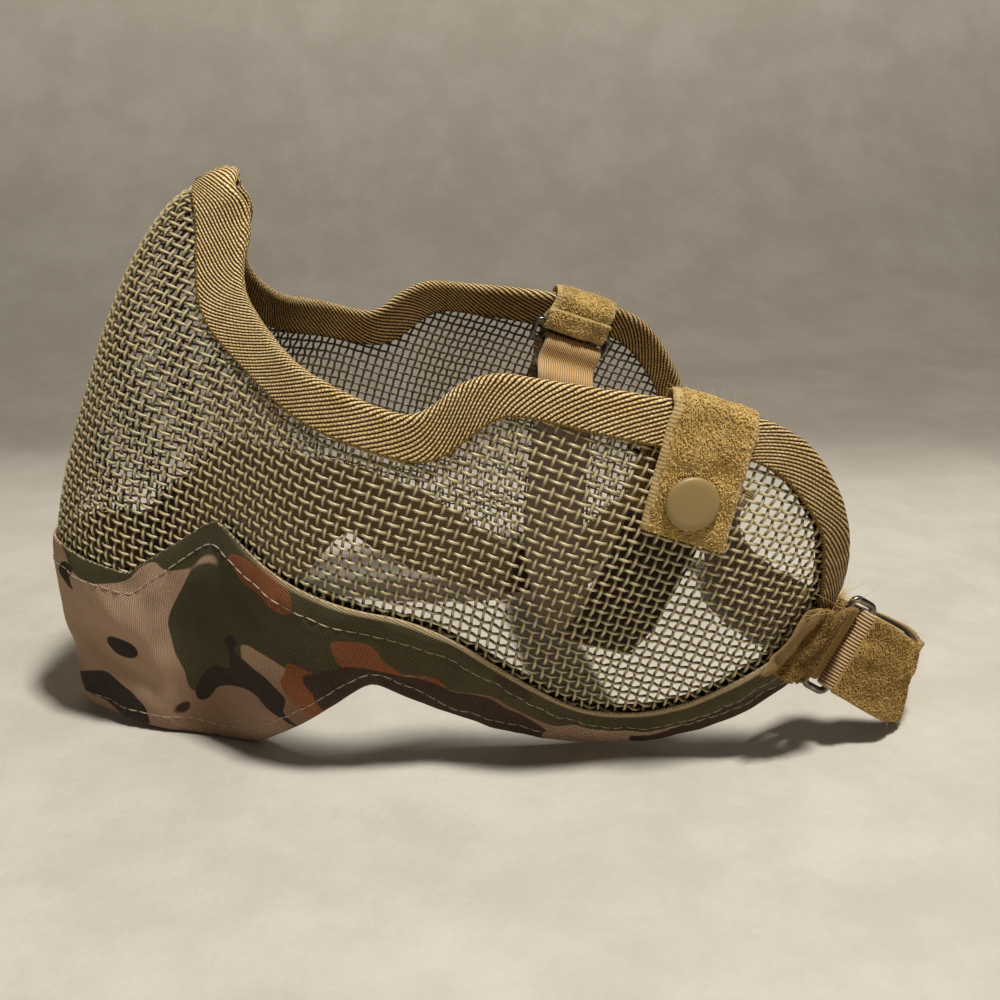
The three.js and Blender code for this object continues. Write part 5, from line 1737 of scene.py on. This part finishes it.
class MASK_OT_straps(bpy.types.Operator):
    """Thread the elastic straps through their rings and sew the patch on the lower one."""

    bl_idname = "mask.straps"
    bl_label = "Straps"

    def execute(self, context):
        settings = context.scene.mask_strap
        pile = context.scene.mask_pile
        line = upper_strap_line(upper_fastening("left"), upper_fastening("right"))
        grid = strap_grid(line, ELASTIC["width"], ELASTIC["half"], STRAP_COLUMNS["upper"])
        piece = self.elastic("upper_elastic", grid, elastic_material("elastic_fine", settings, False))
        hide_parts("upper_strap")

        spacing = settings.cord_spacing / MM
        lower, past = lower_strap_line(lower_fastening())
        width = LOWER_ELASTIC["width"]

        def cords(u, v):
            """Height * |cos(pi v / spacing)| ** roundness, out on both faces."""
            cord = CORDS["height"] * np.abs(np.cos(math.pi * v / spacing)) ** CORDS["roundness"]
            return cord, -cord

        grid = strap_grid(lower, width, LOWER_ELASTIC["half"], STRAP_COLUMNS["lower"], cords)
        piece = self.elastic("lower_elastic", grid, elastic_material("elastic_ribbed", settings, True))
        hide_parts("lower_strap")

        run = running_length(lower[0])
        from_ring = run - run[past]
        kept = (from_ring >= PATCH["start"]) & (from_ring <= PATCH["start"] + PATCH["length"])
        middle, across, face = (values[kept] for values in lower)
        raised = (middle + PATCH["lift"] * face, across, face)

        def lump(u, v):
            """A ripple on the front only."""
            soft = PATCH["soft"] * ripple(u, v, PATCH["soft_length"], SEEDS["patch"])
            return soft, 0 * soft

        grid = strap_grid(raised, width + PATCH["wider"], PATCH["half"], STRAP_COLUMNS["patch"], lump)
        front, _, u, v = grid
        piece = strap_piece("strap_patch_tape", grid, pile_material(pile, "pile_in_shade"), "pile",
                            edge=width / 2 - np.abs(v))
        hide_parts("strap_patch")

        def inside(a, b, draw):
            """Up to a ragged border."""
            return np.abs(b) < width / 2 - draw.uniform(*RAGGED["patch"], len(a))

        add_pile("strap_patch_pile", pile, "pile_in_shade", (front, u, v), inside, SEEDS["patch_pile"])
        roots, normals = scattered(front, u, v, lambda a, b, draw: a >= 0, PATCH_FUZZ["density"],
                                   SEEDS["patch_fuzz"])
        roots, normals = roots[:PATCH_FUZZ["count"]], normals[:PATCH_FUZZ["count"]]
        hair = fibre_parts(roots, normals, PATCH_FUZZ, SEEDS["patch_fuzz_fibres"])
        new_piece("strap_patch_fuzz", hair, tone_yarn(pile, "plain_pile"))
        return {"FINISHED"}

    def elastic(self, name, grid, material):
        """Strap that knows how far each place is from its long edges and from its ends."""
        u, v = grid[2:]
        return strap_piece(name, grid, material, "elastic", edge=v.max() - np.abs(v),
                           from_end=np.minimum(u, u.max() - u))


class MASK_OT_hardware(bpy.types.Operator):
    """Bend the four wire rings and press the snaps on."""

    bl_idname = "mask.hardware"
    bl_label = "Rings and snaps"

    def execute(self, context):
        settings = context.scene.mask_hardware
        steel, plastic = steel_material(settings), snap_material(settings)
        lower = lower_fastening()
        place = (SNAP["arc"], SNAP["height"])
        out = wall_read(*place)[1]
        along, up, _ = wall_axes(*place)
        snaps = {
            "cap": turned_part(CAP_PROFILE, wall(*place, SNAP["cap"]), along, up, out),
            "base": turned_part(BASE_PROFILE, wall(*place, SNAP["base"]), along, up, -out),
        }
        for side in ("left", "right"):
            upper = upper_fastening(side)
            rings = {
                "upper": ring_part(upper["bar"], upper["along"], -upper["up"]),
                "lower": ring_part(lower["bar"], LOWER_BAR, lower["drop"]),
            }
            for level, part in rings.items():
                piece = new_piece(f"{level}_ring_{side}_wire", on_side([part], side), steel)
                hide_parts(f"{level}_ring_{side}")
            for kind, part in snaps.items():
                piece = new_piece(f"snap_{kind}_{side}_disc", on_side([part], side), plastic,
                                  sharp=SNAP["sharp"])
                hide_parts(f"snap_{kind}_{side}")
        return {"FINISHED"}


# The camera's place and aim, its roll in degrees, and its lens, sensor and nearest distance.
CAMERA = {"place": (0.3536, -0.0489, 0.1706), "aim": (0.0, 0.0067, 0.0506), "roll": -0.59,
          "lens": 49.45, "sensor": 36, "near": 0.01}
# Place and aim of each lamp, and its width.
KEY = {"place": (0.29, 0.13, 0.97), "aim": (0.0, 0.0, 0.05), "width": 0.12}
FILL = {"place": (-0.1, 0.8, 1.0), "aim": (-0.3, 0.3, 0.2), "width": 0.9}
ROOM_LIGHT = (0.96, 0.96, 0.98, 1)
# The floor: its reach, a row of points near the mask, where it starts to bend up, the bend's radius
# and places, and how high it goes.
STAGE = {"floor": 4.0, "near": 0.3, "bend_start": -0.34, "bend": 0.3, "places": 31, "rise": 1.7}
# The round wall behind every side: radius, bend off the floor and its places, height, how far it
# starts below the floor, and sides.
ROOM = {"radius": 1.35, "bend": 0.55, "places": 25, "rise": 2.2, "sunk": 0.0006, "sides": 96}
# Where the pale floor passes into the painted shade behind the mask, and the heights between which the
# backdrop starts.
TONES = {"pale": -0.14, "dark": -0.26, "slant": 0.157, "low": 0.02, "high": 0.3}
# Share of its colour that the paper keeps in its darker clouds.
PAPER_SHADE = (0.86, 0.85, 0.83)


def facing(place, aim):
    """Turn of a lamp or camera that looks from a place at its aim."""
    return (Vector(aim) - Vector(place)).to_track_quat("-Z", "Y")


def paper_material(settings):
    """Mottled paper: pale under the mask, darker behind it as painted shade, and lighter again where it
    stands up.
    """
    material, bsdf = shader("stage_paper", 0.85)
    place = object_place(bsdf)
    split = node(bsdf, "SeparateXYZ", {0: place})
    depth = maths(bsdf, "MULTIPLY_ADD", split.outputs[1], -TONES["slant"], split.outputs[0])
    near = step_up(bsdf, depth, TONES["dark"], TONES["pale"])
    raised = step_up(bsdf, split.outputs[2], TONES["low"], TONES["high"])
    # Painted shade on the floor behind the mask.
    paint = mixed(bsdf, near, settings.far_floor_shade, settings.floor)
    paint = mixed(bsdf, raised, paint, settings.backdrop)
    cloud = step_up(bsdf, noise(bsdf, place, 22, 5, 0.65), 0.35, 0.7)
    grain = noise(bsdf, place, 420, 3)
    darker = shaded(bsdf, paint, PAPER_SHADE)
    paint = mixed(bsdf, cloud, darker, paint)
    feed(bsdf, "Base Color", mixed(bsdf, grain, paint, darker, amount=0.15))
    feed(bsdf, "Normal", bumped(bsdf, grain, 0.25))
    return material


class MASK_OT_stage(bpy.types.Operator):
    """Set the pale floor, the soft lights and the camera."""

    bl_idname = "mask.stage"
    bl_label = "Stage"

    def execute(self, context):
        settings = context.scene.mask_stage
        paper = paper_material(settings)
        self.sheet("floor", *self.sweep(), paper)
        room = self.sheet("room_wall", *self.bowl(), paper)
        for ray in ("diffuse", "glossy", "transmission", "volume_scatter", "shadow"):
            setattr(room, f"visible_{ray}", False)
        for name, spot, power in (("key_lamp", KEY, settings.key), ("fill_lamp", FILL, settings.fill)):
            light = bpy.data.lights.new(name, "AREA")
            light.energy = power
            light.size = spot["width"]
            self.placed(name, light, spot["place"], facing(spot["place"], spot["aim"]))
        world = bpy.data.worlds.new("room")
        world.use_nodes = True
        background = world.node_tree.nodes["Background"]
        background.inputs["Color"].default_value = ROOM_LIGHT
        background.inputs["Strength"].default_value = settings.sky
        context.scene.world = world
        context.scene.view_settings.view_transform = "Standard"
        view = bpy.data.cameras.new("camera")
        view.lens = CAMERA["lens"]
        view.sensor_width = CAMERA["sensor"]
        view.clip_start = CAMERA["near"]
        roll = Quaternion((0, 0, 1), math.radians(CAMERA["roll"]))
        turn = facing(CAMERA["place"], CAMERA["aim"]) @ roll
        context.scene.camera = self.placed("camera", view, CAMERA["place"], turn)
        return {"FINISHED"}

    def placed(self, name, data, place, turn):
        """Lamp or camera at its place, turned by a quaternion."""
        made = bpy.data.objects.new(name, data)
        made.location = place
        made.rotation_mode = "QUATERNION"
        made.rotation_quaternion = turn
        bpy.context.scene.collection.objects.link(made)
        return made

    def sweep(self):
        """Floor that bends up behind the mask: back s + r sin a, up r - r cos a, then upright."""
        turn = np.radians(np.linspace(0, 90, STAGE["places"]))
        start, bend, reach = STAGE["bend_start"], STAGE["bend"], STAGE["floor"]
        profile = [(start - bend * math.sin(a), bend - bend * math.cos(a)) for a in turn]
        profile = [(reach, 0), (STAGE["near"], 0), *profile, (start - bend, STAGE["rise"])]
        strip = np.array([[(x, y, z) for y in (-reach, reach)] for x, z in profile])
        cells = np.arange(len(profile) - 1)[:, None] * 2 + (0, 1, 3, 2)
        return strip.reshape(-1, 3), cells

    def bowl(self):
        """Wall turned round the upright axis: radius r - b (1 - sin a), height b (1 - cos a) - sunk.

        a runs from 0 to a right angle, and from there the wall is upright.
        """
        lift = np.radians(np.linspace(0, 90, ROOM["places"]))
        radius = ROOM["radius"] - ROOM["bend"] * (1 - np.sin(lift))
        height = ROOM["bend"] * (1 - np.cos(lift)) - ROOM["sunk"]
        radius, height = np.append(radius, ROOM["radius"]), np.append(height, ROOM["rise"])
        turn = np.linspace(0, 2 * math.pi, ROOM["sides"] + 1)[:-1]
        rings = np.stack(np.broadcast_arrays(
            radius[:, None] * np.cos(turn), radius[:, None] * np.sin(turn), height[:, None]), -1)
        points, groups = carried(rings, capped=False)
        return points, groups[0]

    def sheet(self, name, points, faces, material):
        """Smooth open sheet of paper."""
        mesh = bpy.data.meshes.new(name)
        mesh.from_pydata(points.tolist(), [], faces.tolist())
        mesh.shade_smooth()
        mesh.materials.append(material)
        made = bpy.data.objects.new(name, mesh)
        bpy.context.scene.collection.objects.link(made)
        return made


OPERATORS = (MASK_OT_wire, MASK_OT_tape, MASK_OT_cloth, MASK_OT_upper_tabs, MASK_OT_lower_tabs,
             MASK_OT_straps, MASK_OT_hardware, MASK_OT_stage)


class MASK_PT_build(bpy.types.Panel):
    """Buttons that build the mask, piece by piece."""

    bl_idname = "MASK_PT_build"
    bl_label = "Half-face mask"
    bl_space_type = "VIEW_3D"
    bl_region_type = "UI"
    bl_category = "Mask"

    def draw(self, context):
        for operator in OPERATORS:
            self.layout.operator(operator.bl_idname)
        for key, group in SETTINGS.items():
            box = self.layout.box()
            box.label(text=group.__doc__)
            for name in group.__annotations__:
                box.prop(getattr(context.scene, key), name)


def register():
    for key, group in SETTINGS.items():
        bpy.utils.register_class(group)
        setattr(bpy.types.Scene, key, bpy.props.PointerProperty(type=group))
    for item in (*OPERATORS, MASK_PT_build):
        bpy.utils.register_class(item)


def unregister():
    for item in (MASK_PT_build, *reversed(OPERATORS)):
        bpy.utils.unregister_class(item)
    for key, group in reversed(SETTINGS.items()):
        delattr(bpy.types.Scene, key)
        bpy.utils.unregister_class(group)


def main():
    """Build every piece and the stage."""
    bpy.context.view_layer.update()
    register()
    for operator in OPERATORS:
        group, name = operator.bl_idname.split(".")
        getattr(getattr(bpy.ops, group), name)()


if __name__ == "__main__":
    main()
